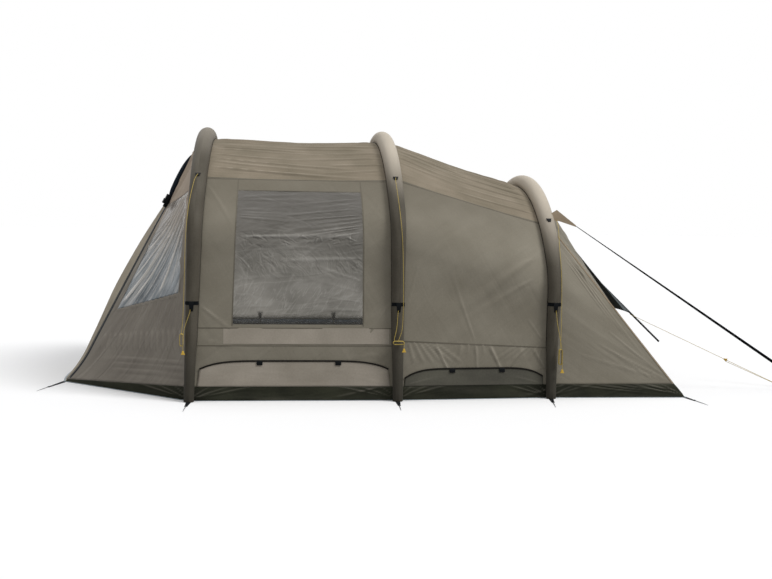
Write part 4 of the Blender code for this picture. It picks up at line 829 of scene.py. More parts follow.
def sleeve_grid(beam, low=FLOOR):
    """The sleeve's skin with what sewing and pressure give it: flats at its seams, and small puckers on
    the inner side of the shoulders and at the foot."""
    rows, uv, run, last = [], [], 0.0, None
    for station, hand in whole_arch(beam, low):
        y, z, out_y, out_z = station
        centre = beam.surface(station, 0.0, hand=hand)
        run += (centre - last).length if last else 0.0
        last = centre
        out = Vector((0, hand * out_y, out_z))
        radius = beam.radius(z)
        bend = math.exp(-(((z - beam.leg - 0.2) / 0.22) ** 2))
        foot = math.exp(-z / 0.1)
        row, uv_row = [], []
        for i in range(SLEEVE_SIDES + 1):
            turn = 2 * math.pi * i / SLEEVE_SIDES
            inner = max(-math.cos(turn), 0.0)
            ripple = SHOULDER_RIPPLE * bend * inner**2 * math.sin(run * SHOULDER_RIPPLES)
            seam = math.exp(-(((inner - 0.45) / 0.12) ** 2))
            pucker = SEAM_PUCKER * math.sin(run * SEAM_PUCKERS + turn) * seam
            gather = FOOT_GATHER * foot * math.sin(turn * FOOT_GATHERS)
            long = radius - SLEEVE_EASE + ripple + pucker + gather
            row.append(centre + out * (long * math.cos(turn)) + Vector((long * math.sin(turn), 0, 0)))
            uv_row.append((radius * turn, run))
        rows.append(row)
        uv.append(uv_row)
    return rows, uv


def close_tube(made, ends=True):
    """Welds a tube's seam, closes its ends and turns its faces outwards."""
    weld(made, WELD_GAP, holes=lambda edge: ends)
    made.data.shade_smooth()
    made.data.set_sharp_from_angle(angle=math.radians(55))
    return made


for beam in BEAMS:
    rows, uv = sleeve_grid(beam)
    sleeve = close_tube(grid_mesh("sleeve_" + beam.name, rows, uv))
    seat, tube = beam.on_leg(VALVE_Z), beam.radius(VALVE_Z)
    out = Vector((0, seat[2], seat[3]))
    seat_place = beam.surface(seat, tube, hand=1)
    turn = out.to_track_quat("Z", "Y").to_matrix().to_4x4()
    cutter = added(
        bpy.ops.mesh.primitive_cylinder_add, vertices=40, radius=VALVE_HOLE_RADIUS, depth=VALVE_HOLE_DEPTH
    )
    cutter.data.transform(Matrix.Translation(seat_place) @ turn)
    cut(sleeve, cutter)
    put(sleeve, "tent", "sleeve", sleeve_finishes[beam.name], "beam_sleeve_" + beam.name)
    low = FLOOR + BLADDER_LIFT
    rows = []
    for row, (station, hand) in zip(sleeve_grid(beam, low)[0], whole_arch(beam, low)):
        centre = beam.surface(station, 0.0, hand=hand)
        rows.append(
            [centre + (point - centre) * (1 - BLADDER_GAP / (point - centre).length) for point in row]
        )
    bladder = close_tube(grid_mesh("bladder_" + beam.name, rows))
    for name, wide, deep, reach in (
        ("valve_neck_", VALVE_RADIUS, tube, VALVE_REACH - tube / 2),
        ("valve_flange_", VALVE_FLANGE_RADIUS, VALVE_FLANGE_DEPTH, -VALVE_FLANGE_DEPTH / 2)
    ):
        part = added(bpy.ops.mesh.primitive_cylinder_add, vertices=40, radius=wide, depth=deep)
        part.name = name + beam.name
        part.data.transform(Matrix.Translation(seat_place + out * reach) @ turn)
        bevelled = part.modifiers.new("edge", "BEVEL")
        bevelled.width = VALVE_FLANGE_DEPTH / 4
        bevelled.segments = 2
        put(part, "tent", "bladder", fitting_finish)
    put(bladder, "tent", "bladder", bladder_finish, "air_tube_" + beam.name)
    carry("valve_cap_" + beam.name, fitting_finish)
    for facing in (-1, 1):
        places = whole_arch(beam, FLOOR + PIPING_FOOT, 40)
        line = [fly_edge(beam, station, facing, hand, over=0.002) for station, hand in places]
        piping = cord_curve(
            "piping_%s_%d" % (beam.name, (facing + 1) // 2), line, PIPING_DIAMETER, piping_finish
        )
        put(piping, "tent", "sleeve", None)


# Bands, tabs and clips on the sleeves: black webbing sewn round the outer face of each leg with a
# moulded loop under it on the near side, and a moulded clip at each shoulder for the guy line.
BAND_Z = 0.695
BAND_WIDTH = 0.025
BAND_TURN = math.radians(112)
BAND_STEPS = 32
TAB_WIDTH = 0.03
TAB_DROP = 0.045
CLIP_ANGLE = math.radians(49.5)
CLIP_LENGTH = 0.034
CLIP_WIDTH = 0.024
CLIP_DEPTH = 0.006
STORM_TAB = ((0.03, 0.006), (0.108, -0.004), (0.238, -0.045), (0.238, -0.033), (0.082, 0.085), (0.025, 0.05))


def shaped_block(name, size, place, axes, bevel, taper=None):
    """A moulded block: a cube shaped to size, narrowed at one end where asked, with rounded edges."""
    made = added(bpy.ops.mesh.primitive_cube_add, size=1.0)
    made.name = name
    if taper:
        for vert in made.data.vertices:
            if vert.co.x > 0:
                vert.co.y *= taper
    made.data.transform(Matrix.Diagonal((*size, 1)))
    rounded = made.modifiers.new("edges", "BEVEL")
    rounded.width = bevel
    rounded.segments = 3
    bpy.ops.object.modifier_apply(modifier=rounded.name)
    made.data.transform(Matrix.Translation(place) @ axes.to_4x4())
    bpy.ops.object.shade_smooth_by_angle(angle=math.radians(35))
    return made


def axes_of(forward_way, up_way):
    along = Vector(forward_way).normalized()
    side = Vector(up_way).cross(along).normalized()
    return Matrix((along, side, along.cross(side))).transposed()


for beam in BEAMS:
    for side, hand in HANDS.items():
        station = beam.on_leg(BAND_Z)
        centre = beam.surface(station, 0.0, hand=hand)
        out = Vector((0, hand * station[2], station[3]))
        up_leg = Vector((0, -hand * station[3], station[2]))
        radius = beam.radius(BAND_Z) + WEBBING / 2
        turns = [mix(-BAND_TURN, BAND_TURN, i / BAND_STEPS) for i in range(BAND_STEPS + 1)]
        outs = [out * math.cos(turn) + Vector((math.sin(turn), 0, 0)) for turn in turns]
        line = [centre + way_out * radius for way_out in outs]
        band = ribbon("band_%s_%s" % (beam.name, side), line, [up_leg] * len(line), outs, BAND_WIDTH, WEBBING)
        put(band, "tent", "webbing", webbing_finish)
        high = beam.at(CLIP_ANGLE)
        clip = shaped_block(
            "clip_%s_%s" % (beam.name, side), (CLIP_WIDTH * 1.5, CLIP_LENGTH * 1.25, CLIP_DEPTH),
            beam.surface(high, beam.radius(high[1]) + CLIP_DEPTH / 4, hand=hand),
            axes_of((0, hand * high[3], -high[2]), (0, hand * high[2], high[3])), CLIP_DEPTH / 4, taper=0.5
        )
        put(clip, "tent", "fitting", fitting_finish)
        if side == "right":
            continue
        low = beam.on_leg(BAND_Z - TAB_DROP / 2)
        tab = shaped_block(
            "band_tab_" + beam.name, (TAB_DROP + BAND_WIDTH, TAB_WIDTH * 1.25, WEBBING * 2.5),
            beam.surface(low, radius), axes_of((0, 0, -1), (0, -1, 0)), WEBBING * 0.6, taper=0.62
        )
        put(tab, "tent", "fitting", fitting_finish)

# The storm tab on the rear sleeve is a doubled gusset of the roof's cloth. It runs back to a point,
# where the storm strap is sewn.
roof_finish = cloth_finish(
    "taupe_polycotton_roof", "7f7665", "918675", pull=((3, 7, 14, 0.02), (-9, 5, 9, 0.03))
)
tab_finish = cloth_finish("pale_polycotton_gusset", "a08f7a", "b8a78f")
for side, hand in HANDS.items():
    base = REAR.surface(REAR.at(SEAM_ANGLE), 0.0, 0.0, hand)
    layers = [[base + Vector((x, face * WEBBING / 2, z)) for x, z in STORM_TAB] for face in (-1, 1)]
    gusset = grid_mesh("storm_gusset_" + side, layers, around=True, caps=True)
    layer = gusset.data.uv_layers.new(name="cloth")
    for loop in gusset.data.loops:
        spot = gusset.data.vertices[loop.vertex_index].co
        layer.data[loop.index].uv = (spot.x, spot.z)
    close_tube(gusset, ends=False)
    gusset.data.set_sharp_from_angle(angle=math.radians(20))
    put(gusset, "tent", "roof", tab_finish)


# The fly. Every panel is cut from one taupe polycotton cloth and sewn, with its tension folds where
# it hangs from the sleeves. A panel is a grid of points between two beams, and its folds are soft
# creases laid along the pull of the cloth.
MUDWALL_TOP = 0.105
FRONT_MUDWALL_TOP = 0.02
WALL_SAG = 0.012
ROOF_SAG = 0.015
WINDOW_SHARES = (0.175, 0.85)
WINDOW_FOOT_PLACE = 1.84
WINDOW_HEAD_PLACE = 8.0
WALL_LOW = MUDWALL_TOP + SEAM_GAP
SEAM_LIFT = CLOTH / 2 + 0.0005
SEAM_THICK = 0.001
FOLD_FADE = 0.04


def bay_grid(first, second, places, shares, hand, sag, out=0.0):
    """Points of the fly between two beams, as an array of rows up the bay."""
    rows = []
    shares = np.array(shares, float)[:, None]
    for place in places:
        ends = [beam.station(place, WALL_LOW) for beam in (first, second)]
        start = np.array(fly_edge(first, ends[0], 1, hand))
        end = np.array(fly_edge(second, ends[1], -1, hand))
        across = np.array([(0, hand * station[2], station[3]) for station in ends])
        normal = mix(across[0], across[1], shares)
        normal /= np.linalg.norm(normal, axis=1)[:, None]
        drop = sag(place) if callable(sag) else sag
        rows.append(mix(start, end, shares) + normal * (out - drop * np.sin(np.pi * shares)))
    return np.array(rows)


def spread(points):
    """How far each point of a grid is along and up the cloth, in metres."""
    along = np.linalg.norm(np.diff(points, axis=1), axis=2)
    up = np.linalg.norm(np.diff(points, axis=0), axis=2)
    u = np.concatenate([np.zeros((len(points), 1)), np.cumsum(along, axis=1)], axis=1)
    v = np.concatenate([np.zeros((1, points.shape[1])), np.cumsum(up, axis=0)], axis=0)
    return u - u[:, -1:] / 2, v


def normals_of(points, away):
    """Unit normals of a grid of points, turned away from a point inside."""
    gap_u, gap_v = np.gradient(points, axis=1), np.gradient(points, axis=0)
    normal = np.cross(gap_u, gap_v)
    length = np.linalg.norm(normal, axis=2)
    normal /= np.maximum(length, 1e-12)[..., None]
    middle = len(points) // 2, points.shape[1] // 2
    facing = np.dot(normal[middle], points[middle] - np.array(away))
    return normal if facing > 0 else -normal


def creases(points, folds):
    """Heights of soft creases over a grid. Each fold is (start, end, width, height, tail): its ends are
    shares across and up the grid, and a higher tail fades it sooner towards its end."""
    u, v = spread(points)
    rows, columns = u.shape
    heights = np.zeros(u.shape)
    for start, end, width, height, tail in folds:
        spots = []
        for across, up in (start, end):
            i, j = int(round(up * (rows - 1))), int(round(across * (columns - 1)))
            spots.append(np.array((u[i, j], v[i, j])))
        line = spots[1] - spots[0]
        long = max(np.linalg.norm(line), 1e-6)
        line = line / long
        du, dv = u - spots[0][0], v - spots[0][1]
        along = (du * line[0] + dv * line[1]) / long
        off = du * -line[1] + dv * line[0]
        share = np.clip(along, 0, 1)
        wide = width * (0.45 + 0.9 * share)
        x = off / wide
        body = (1 - 0.8 * x**2) * np.exp(-(x**2))
        taper = np.clip(share * 7, 0, 1) * (1 - share) ** tail * np.clip((1 - share) * 7, 0, 1)
        heights += height * body * np.where((along > 0) & (along < 1), taper, 0)
    aside, up = np.linspace(0, 1, columns)[None, :], np.linspace(0, 1, rows)[:, None]
    fades = [np.clip(np.minimum(share, 1 - share) / FOLD_FADE, 0, 1) for share in (aside, up)]
    return heights * (fades[0] * fades[1])


def billow(points, seed, height, size):
    """Faint uneven swells of cloth, a few hands wide."""
    draw = np.random.default_rng(seed)
    u, v = spread(points)
    swell = np.zeros(u.shape)
    for _ in range(7):
        turn, phase = draw.uniform(0, math.pi), draw.uniform(0, 2 * math.pi)
        long = size * draw.uniform(0.6, 1.6)
        swell += np.sin((u * math.cos(turn) + v * math.sin(turn)) * 2 * math.pi / long + phase)
    columns, rows = np.linspace(0, 1, u.shape[1])[None, :], np.linspace(0, 1, u.shape[0])[:, None]
    return height / 3 * swell * np.sin(np.pi * columns) ** 0.5 * np.sin(np.pi * rows) ** 0.5


def flat_size(points, skip=()):
    """The size a panel was cut to: its widest row, its longest column and its area."""
    u, v = spread(points)
    wide, long = float((u[:, -1] - u[:, 0]).max()), float(v[-1].max())
    a, b = points[1:, 1:] - points[:-1, :-1], points[1:, :-1] - points[:-1, 1:]
    cells = np.linalg.norm(np.cross(a, b), axis=2) / 2
    for i, j in skip:
        cells[i, j] = 0.0
    return (wide, long), float(min(cells.sum(), wide * long))


def slope_of(height, place, axis):
    step = np.gradient(place, axis=axis)
    return np.gradient(height, axis=axis) / np.where(np.abs(step) < 0.0005, 0.0005, step)


def mark(piece, name, shares):
    """Writes a value at each point of a piece, for its finish to read."""
    attribute = piece.data.attributes.new(name, "FLOAT", "POINT")
    attribute.data.foreach_set("value", np.array(shares, np.float32).ravel())


def thicken(made, thick):
    """Gives a single layer its thickness, half to each side."""
    wall = made.modifiers.new("cloth", "SOLIDIFY")
    wall.thickness = thick
    wall.offset = 0.0


def panel(
    name, points, finish, slot, *nodes, body="tent", away=(0, 0, 0.9), folds=(), swell=None, thick=CLOTH,
    skip=(), lean=-0.7, held="stretched", rests_on=()
):
    """A sewn panel: folded and given its thickness, and the size it was cut to worked out. Gives back the
    piece, and its folded points with their normals, for seams to be laid on."""
    height = creases(points, folds)
    if swell:
        height = height + billow(points, *swell)
    normal = normals_of(points, away)
    folded = points + normal * height[..., None]
    flat, area = flat_size(folded, skip)
    u, v = spread(points)
    made = grid_mesh(name, folded, np.stack([u, v], axis=2), skip=skip)
    # Painted light and shade on the folds: lighter where a fold's slope faces up, and towards the side that
    # lean gives, darker where it faces away.
    mark(made, "fold", lean * slope_of(height, u, 1) - slope_of(height, v, 0))
    towards = Vector(normal[len(points) // 2, points.shape[1] // 2])
    if made.data.polygons[len(made.data.polygons) // 2].normal.dot(towards) < 0:
        made.data.flip_normals()
    thicken(made, thick)
    put(made, body, slot, finish, *nodes)
    return made, (folded, normal)


def strip(name, laid, spots, width, finish, lift=SEAM_LIFT, thick=SEAM_THICK, body="tent", slot="wall"):
    """A seam or tape laid on a panel along a line of places, given as shares across and up its grid."""
    base, normal = laid
    rows, columns = base.shape[:2]
    centres, outs = [], []
    for across, up in spots:
        y, x = up * (rows - 1), across * (columns - 1)
        i, j = min(int(y), rows - 2), min(int(x), columns - 2)
        a, b = y - i, x - j
        weights = ((1 - a) * (1 - b), (1 - a) * b, a * (1 - b), a * b)
        corners = ((i, j), (i, j + 1), (i + 1, j), (i + 1, j + 1))
        outs.append(Vector(sum(normal[c] * w for c, w in zip(corners, weights))).normalized())
        centres.append(Vector(sum(base[c] * w for c, w in zip(corners, weights))) + outs[-1] * lift)
    ahead = [after - before for before, after in zip([centres[0], *centres], [*centres[1:], centres[-1]])]
    sides = [way.cross(out).normalized() for way, out in zip(ahead, outs)]
    return put(ribbon(name, centres, sides, outs, width, thick), body, slot, finish)


def line_of(start, end, steps=48):
    return [(mix(start[0], end[0], i / steps), mix(start[1], end[1], i / steps)) for i in range(steps + 1)]


def wall_sag(first):
    """A wall hangs in a little at its middle height, and is straight along its foot and its seam."""
    low, high = first.steps[0], first.at(SEAM_ANGLE)[1]

    def drop(place):
        rise = min(max((first.station(place, WALL_LOW)[1] - low) / (high - low), 0.0), 1.0)
        return WALL_SAG * math.sin(math.pi * rise)

    return drop


# Polycotton, dyed and proofed, dull and slightly hairy, in a cooler shade than the roof. Painted shade
# darkens the walls higher up, so that they read darker than the roof.
wall_finish = cloth_finish(
    "taupe_polycotton_wall", "857f71", "908a7c", pull=((38, 12, 7, 0.007), (-60, 9, 6, 0.005))
)
painted_light_by_height(wall_finish, 1.0, 1.6, 0.45, "615b4f")
vent_finish = cloth_finish("pale_polycotton_vent", "9a9285", "ada497", pull=((0, 8, 5, 0.006),))
seam_finish = cloth_finish("felled_polycotton_seam", "676256", "7a7468")


def fan(seed, count, side, ups, slope, reach, width, height):
    """Folds that start at a panel's left (0) or right (1) edge and run across, spread at their far ends."""
    draw = np.random.default_rng(seed)
    folds = []
    for i in range(count):
        up = mix(ups[0], ups[1], (i + draw.uniform(0.2, 0.8)) / count)
        far = draw.uniform(*reach)
        end = min(
            max(up + mix(slope[0], slope[1], (i + 0.5) / count) * far + draw.normal(0, 0.006), 0.01), 0.99
        )
        high = height * draw.uniform(0.55, 1.25)
        folds.append(
            ((side, up), (abs(side - far), end), width * draw.uniform(0.7, 1.3), high, draw.uniform(0.4, 1.0))
        )
    return folds


ROOF_FOLDS = {
    "front": fan(1, 11, 0, (0.05, 0.45), (-0.1, 0.02), (0.55, 0.97), 0.017, 0.012)
    + fan(2, 9, 1, (0.05, 0.44), (-0.05, 0.05), (0.3, 0.7), 0.015, 0.011),
    "rear": fan(3, 10, 1, (0.05, 0.49), (-0.02, 0.06), (0.55, 0.97), 0.017, 0.012)
    + fan(4, 8, 0, (0.1, 0.49), (-0.08, 0.02), (0.25, 0.7), 0.015, 0.01)
}


def both_ways(folds, along=0):
    """Folds and their mirror image: across the panel, or up it (along 1)."""
    turned = []
    for start, end, *rest in folds:
        start, end = ([1 - share if k == along else share for k, share in enumerate(p)] for p in (start, end))
        turned.append((start, end, *rest))
    return folds + turned


ROOF_SHARES = np.linspace(0, 1, 141)
ROOF_PLACES = [9 + i / 25 for i in range(101)]
for name, first, second, seed in (("front", FRONT, MIDDLE, 3), ("rear", MIDDLE, REAR, 8)):
    near = bay_grid(first, second, ROOF_PLACES, ROOF_SHARES, -1, ROOF_SAG)
    far = bay_grid(first, second, ROOF_PLACES, ROOF_SHARES, 1, ROOF_SAG)
    _, laid = panel(
        "roof_cloth_" + name, np.concatenate([near, far[-2::-1]]), roof_finish, "roof", "roof_" + name,
        folds=both_ways(ROOF_FOLDS[name], 1), swell=(seed, 0.003, 0.5),
        rests_on=["beam_sleeve_" + first.name, "beam_sleeve_" + second.name]
    )
    for side, up in (("left", 0.004), ("right", 0.996)):
        spots = line_of((0.004, up), (0.996, up))
        strip("roof_seam_%s_%s" % (name, side), laid, spots, 0.012, seam_finish, slot="roof")

# The clear window films: soft PVC, 0.5 mm, sewn in with a hem and creased by folding. It hazes what is behind
# it, and its creases carry painted highlights, with painted shade in their hollows.
WINDOW_COLUMNS = 190
FILM = 0.001
CREST_WIDTH = 0.035
FIELD_EDGE = 0.06


def crease_lines(tree, place, turn, count, stretch, bend):
    """A field of long creases: their relief, and a thin painted highlight along each crest."""
    turned = stretched(tree, place, turn, count, stretch)
    field = noise(tree, turned, 1.0, 3.0, roughness=0.5, distortion=bend)
    crest = add(tree, "ShaderNodeValToRGB", links={0: field})
    ramp = crest.color_ramp.elements
    ramp.new(0.5 + CREST_WIDTH)
    for end, place, shade in zip(
        ramp, (0.5 - CREST_WIDTH, 0.5, 0.5 + CREST_WIDTH), ("000000", "ffffff", "000000")
    ):
        end.position, end.color = place, linear(shade)
    return field, crest.outputs[0]


def film_of(name, dark, light, painted_highlight, fields, rough=0.22):
    """Clear film, hazed: see-through where its veil attribute is low, with a painted highlight where its
    crest attribute is high and painted shade where it is low. Each field is (turn, count, stretch, bend,
    height, share of its painted highlight line, low v, high v), and acts between those heights."""
    made, tree, shader = new_material(name, roughness=rough, ior=1.45, specular_ior_level=0.3)
    place = add(tree, "ShaderNodeUVMap", uv_map="cloth").outputs[0]
    up = add(tree, "ShaderNodeSeparateXYZ", links={0: place}).outputs["Y"]
    colour = two_tones(tree, noise(tree, place, 3.0, 4.0), dark, light, 0.35, 0.68)
    relief = None
    crest = add(tree, "ShaderNodeAttribute", attribute_name="crest").outputs["Fac"]
    for shade, sign, most in ((painted_highlight, 1.0, 0.95), (dark, -1.0, 0.7)):
        colour = tinted(tree, ranged(tree, crest, 0.0, sign, most), colour, shade)
    for turn, count, stretch, bend, high, highlight_share, low_v, high_v in fields:
        height, line = crease_lines(tree, place, turn, count, stretch, bend)
        rise = ranged(tree, up, low_v - FIELD_EDGE, low_v + FIELD_EDGE)
        fall = ranged(tree, up, high_v + FIELD_EDGE, high_v - FIELD_EDGE)
        band = times(tree, rise, fall)
        colour = tinted(tree, times(tree, times(tree, band, line), by=highlight_share), colour, painted_highlight)
        links = {"Height": height, "Strength": band, **({"Normal": relief} if relief else {})}
        relief = add(tree, "ShaderNodeBump", {"Distance": high}, links).outputs[0]
    dress(tree, shader, colour, relief)
    veil = add(tree, "ShaderNodeAttribute", attribute_name="veil")
    tree.links.new(veil.outputs["Fac"], shader.inputs["Alpha"])
    return made


film_finish = film_of(
    "creased_clear_pvc_film", "7f7c74", "a09c94", "dedad2",
    (
        (2, 7, 4, 0.6, 0.014, 0.14, 0.5, 1.4), (-16, 9, 4, 0.8, 0.008, 0.1, 0.6, 1.4),
        (30, 6, 5, 0.6, 0.01, 0.1, 0.45, 1.1), (-52, 16, 2.0, 1.2, 0.012, 0.12, 0.36, 0.52),
        (58, 26, 6, 0.5, 0.006, 0.16, -0.1, 0.3), (6, 7, 5, 0.5, 0.008, 0.1, -0.1, 0.4)
    )
)
# Painted shade: the film darkens towards its top.
painted_light_by_height(film_finish, 0.95, 1.4, 0.85, "534f49")


def film_creases(seed, count, box, long, width, height, lean):
    """Many small sharp creases, drawn by chance inside a box of shares."""
    draw = np.random.default_rng(seed)
    folds = []
    for _ in range(count):
        a, b = draw.uniform(box[0], box[2]), draw.uniform(box[1], box[3])
        turn = lean + draw.normal(0, 0.5)
        reach = draw.uniform(0.4, 1.0) * long
        end = (min(max(a + math.cos(turn) * reach, 0.0), 1.0), min(max(b + math.sin(turn) * reach, 0.0), 1.0))
        high = height * draw.uniform(0.5, 1.2) * (1 if draw.uniform() > 0.35 else -1)
        folds.append(((a, b), end, width * draw.uniform(0.6, 1.5), high, 0.3))
    return folds


WALL_PLACES = sorted({*np.round(np.linspace(0, 9, 163), 4), WINDOW_FOOT_PLACE})
WALL_SHARES = sorted({*np.round(np.linspace(0, 1, 141), 5), *WINDOW_SHARES})
first_row, last_row = WALL_PLACES.index(WINDOW_FOOT_PLACE), WALL_PLACES.index(WINDOW_HEAD_PLACE)
first_column, last_column = (WALL_SHARES.index(share) for share in WINDOW_SHARES)
opening = {(i, j) for i in range(first_row, last_row) for j in range(first_column, last_column)}
top_row, end_column = len(WALL_PLACES) - 1, len(WALL_SHARES) - 1
window_high = last_row / top_row
window_left, window_right = first_column / end_column, last_column / end_column
FOOT_SEAM_PLACE, SILL_SEAM_PLACE = 1.3, 1.8
seam_low, seam_mid = np.interp(
    (FOOT_SEAM_PLACE, SILL_SEAM_PLACE), WALL_PLACES, np.linspace(0, 1, top_row + 1)
)
SILL_WIDTH = 0.115
CLEAR_STRIP = 0.045
TIE_CLEAR_HEIGHT = 0.08
TIE_CLEAR_HALF = 0.016
WINDOW_VEILS = (0.12, 0.9)
CURTAIN_TIE_SHARES = (0.21, 0.77)
WINDOW_CREST = 0.013
WALL_FRONT_FOLDS = [
    ((0.0, 0.95), (0.16, 0.6), 0.014, 0.003, 0.8), ((1.0, 0.95), (0.87, 0.62), 0.014, 0.003, 0.8),
    ((0.0, 0.28), (0.2, 0.18), 0.014, 0.004, 0.7), ((1.0, 0.3), (0.86, 0.16), 0.014, 0.004, 0.7),
    ((0.02, 0.16), (0.3, 0.13), 0.016, 0.0025, 0.8), ((0.98, 0.12), (0.7, 0.1), 0.016, 0.0025, 0.8)
]
WINDOW_FOLDS = (
    film_creases(12, 34, (0.08, 0.34, 0.95, 0.46), 0.13, 0.007, 0.0026, 2.2)
    + film_creases(15, 14, (0.45, 0.34, 0.95, 0.44), 0.14, 0.007, 0.0022, 0.9)
    + film_creases(11, 22, (0.03, 0.03, 0.45, 0.24), 0.14, 0.006, 0.002, 1.0)
    + film_creases(14, 12, (0.0, 0.3, 0.1, 0.52), 0.14, 0.006, 0.0022, 2.3)
    + fan(16, 9, 1, (0.52, 0.98), (-0.32, -0.1), (0.35, 0.75), 0.013, 0.004)
    + fan(17, 6, 0, (0.7, 0.97), (-0.1, 0.06), (0.5, 0.95), 0.022, 0.004)
    + fan(18, 5, 1, (0.05, 0.3), (0.02, 0.2), (0.2, 0.5), 0.01, 0.003)
    + [((0.02, 0.47), (0.98, 0.5), 0.02, 0.005, 0.2), ((1.0, 0.31), (0.35, 0.3), 0.016, 0.004, 0.3)]
)
for side, hand in HANDS.items():
    _, laid = panel(
        "wall_cloth_front_" + side, bay_grid(FRONT, MIDDLE, WALL_PLACES, WALL_SHARES, hand, wall_sag(FRONT)),
        wall_finish, "wall", "wall_front_" + side, folds=WALL_FRONT_FOLDS, swell=(21, 0.0015, 0.5),
        skip=opening, rests_on=["beam_sleeve_front", "beam_sleeve_middle"]
    )
    for name, start, end in (
        ("foot", (0.004, seam_low), (0.996, seam_low)),
        ("sill", (0.004, seam_mid - 0.006), (0.996, seam_mid - 0.006)),
        ("head", (0.004, 0.994), (0.996, 0.994)),
        ("front_post", (window_left, seam_mid), (window_left, 0.99)),
        ("rear_post", (window_right, seam_mid), (window_right, 0.99)),
        ("window_head", (window_left, window_high), (window_right, window_high))
    ):
        strip("wall_seam_%s_%s" % (name, side), laid, line_of(start, end), 0.008, seam_finish)
    sill_mid = mix(seam_low, seam_mid, 0.5)
    spots = line_of((window_left - 0.045, sill_mid), (0.985, sill_mid))
    strip("sill_panel_" + side, laid, spots, SILL_WIDTH, vent_finish, CLOTH / 2 + 0.0004, 0.0008)

    shares = np.linspace(*WINDOW_SHARES, WINDOW_COLUMNS)
    places = np.linspace(WINDOW_FOOT_PLACE, WINDOW_HEAD_PLACE, WINDOW_COLUMNS)
    points = bay_grid(FRONT, MIDDLE, places, shares, hand, wall_sag(FRONT))
    film, _ = panel(
        "window_film_" + side, points, film_finish, "film", "side_window_" + side, folds=WINDOW_FOLDS,
        swell=(31, 0.004, 0.4), thick=FILM, rests_on=["wall_cloth_front_" + side]
    )
    rise = points[..., 2] - points[..., 2].min()
    clear = np.clip((rise - CLEAR_STRIP) / 0.03, 0, 1)
    beside = spread(points)[0]
    for share in CURTAIN_TIE_SHARES:
        aside = np.abs(beside - mix(beside.min(), beside.max(), share)) / TIE_CLEAR_HALF - 0.5
        above = np.clip((rise - TIE_CLEAR_HEIGHT) / 0.02, 0, 1)
        clear = np.minimum(clear, np.maximum(np.clip(aside, 0, 1), above))
    mark(film, "veil", mix(*WINDOW_VEILS, clear))
    # Painted highlights along the creases' crests, and painted shade in their hollows.
    mark(film, "crest", creases(points, WINDOW_FOLDS) / WINDOW_CREST)


# The rear bay's walls are plain, with one seam across the shin. Short gathers hang under it, and fans
# of folds run from it to the vent's tabs. The lettering of the photograph's wall is left off.
WALL_REAR_FOLDS = [
    ((0.95, 0.8), (0.3, 0.25), 0.05, 0.006, 0.5), ((0.9, 0.58), (0.35, 0.22), 0.03, 0.0035, 0.6),
    ((0.04, 0.22), (0.16, 0.33), 0.01, 0.003, 0.6), ((0.1, 0.22), (0.22, 0.36), 0.01, 0.0028, 0.6),
    ((0.02, 0.26), (0.1, 0.42), 0.01, 0.0028, 0.6), ((0.97, 0.2), (0.86, 0.3), 0.01, 0.0028, 0.6),
    ((0.33, 0.05), (0.22, 0.155), 0.012, 0.006, 0.1), ((0.33, 0.05), (0.42, 0.155), 0.012, 0.005, 0.1),
    ((0.68, 0.05), (0.6, 0.155), 0.012, 0.0055, 0.1), ((0.7, 0.05), (0.84, 0.155), 0.012, 0.006, 0.1),
    ((0.52, 0.05), (0.5, 0.155), 0.012, 0.004, 0.1), ((0.02, 0.05), (0.16, 0.155), 0.012, 0.005, 0.2),
    ((0.98, 0.05), (0.9, 0.155), 0.012, 0.0045, 0.2), ((0.5, 0.16), (0.3, 0.45), 0.016, 0.003, 0.7)
]
for count, (start, step), (end, spread_step, low), width, height in (
    (6, (0.03, 0.035), (0.09, 0.065, 0.085), 0.014, 0.0035),
    (6, (0.97, -0.035), (0.93, -0.06, 0.09), 0.014, 0.003),
    (5, (0.4, 0.05), (0.38, 0.06, 0.115), 0.013, 0.0028)
):
    for i in range(count):
        pleat = ((start + step * i, 0.158), (end + spread_step * i, low), width, height, 0.3)
        WALL_REAR_FOLDS.append(pleat)
REAR_WALL_PLACES = np.linspace(0, 9, 163)
REAR_WALL_SHARES = np.linspace(0, 1, 121)
SHIN_SEAM_PLACE = 1.42
for side, hand in HANDS.items():
    _, laid = panel(
        "wall_cloth_rear_" + side,
        bay_grid(MIDDLE, REAR, REAR_WALL_PLACES, REAR_WALL_SHARES, hand, wall_sag(MIDDLE)), wall_finish,
        "wall", "wall_rear_" + side, folds=WALL_REAR_FOLDS, swell=(22, 0.0022, 0.5),
        rests_on=["beam_sleeve_middle", "beam_sleeve_rear"]
    )
    for name, up in (("shin", SHIN_SEAM_PLACE / 9), ("head", 0.994)):
        strip(
            "rear_wall_seam_%s_%s" % (name, side), laid, line_of((0.004, up), (0.996, up)), 0.011, seam_finish
        )


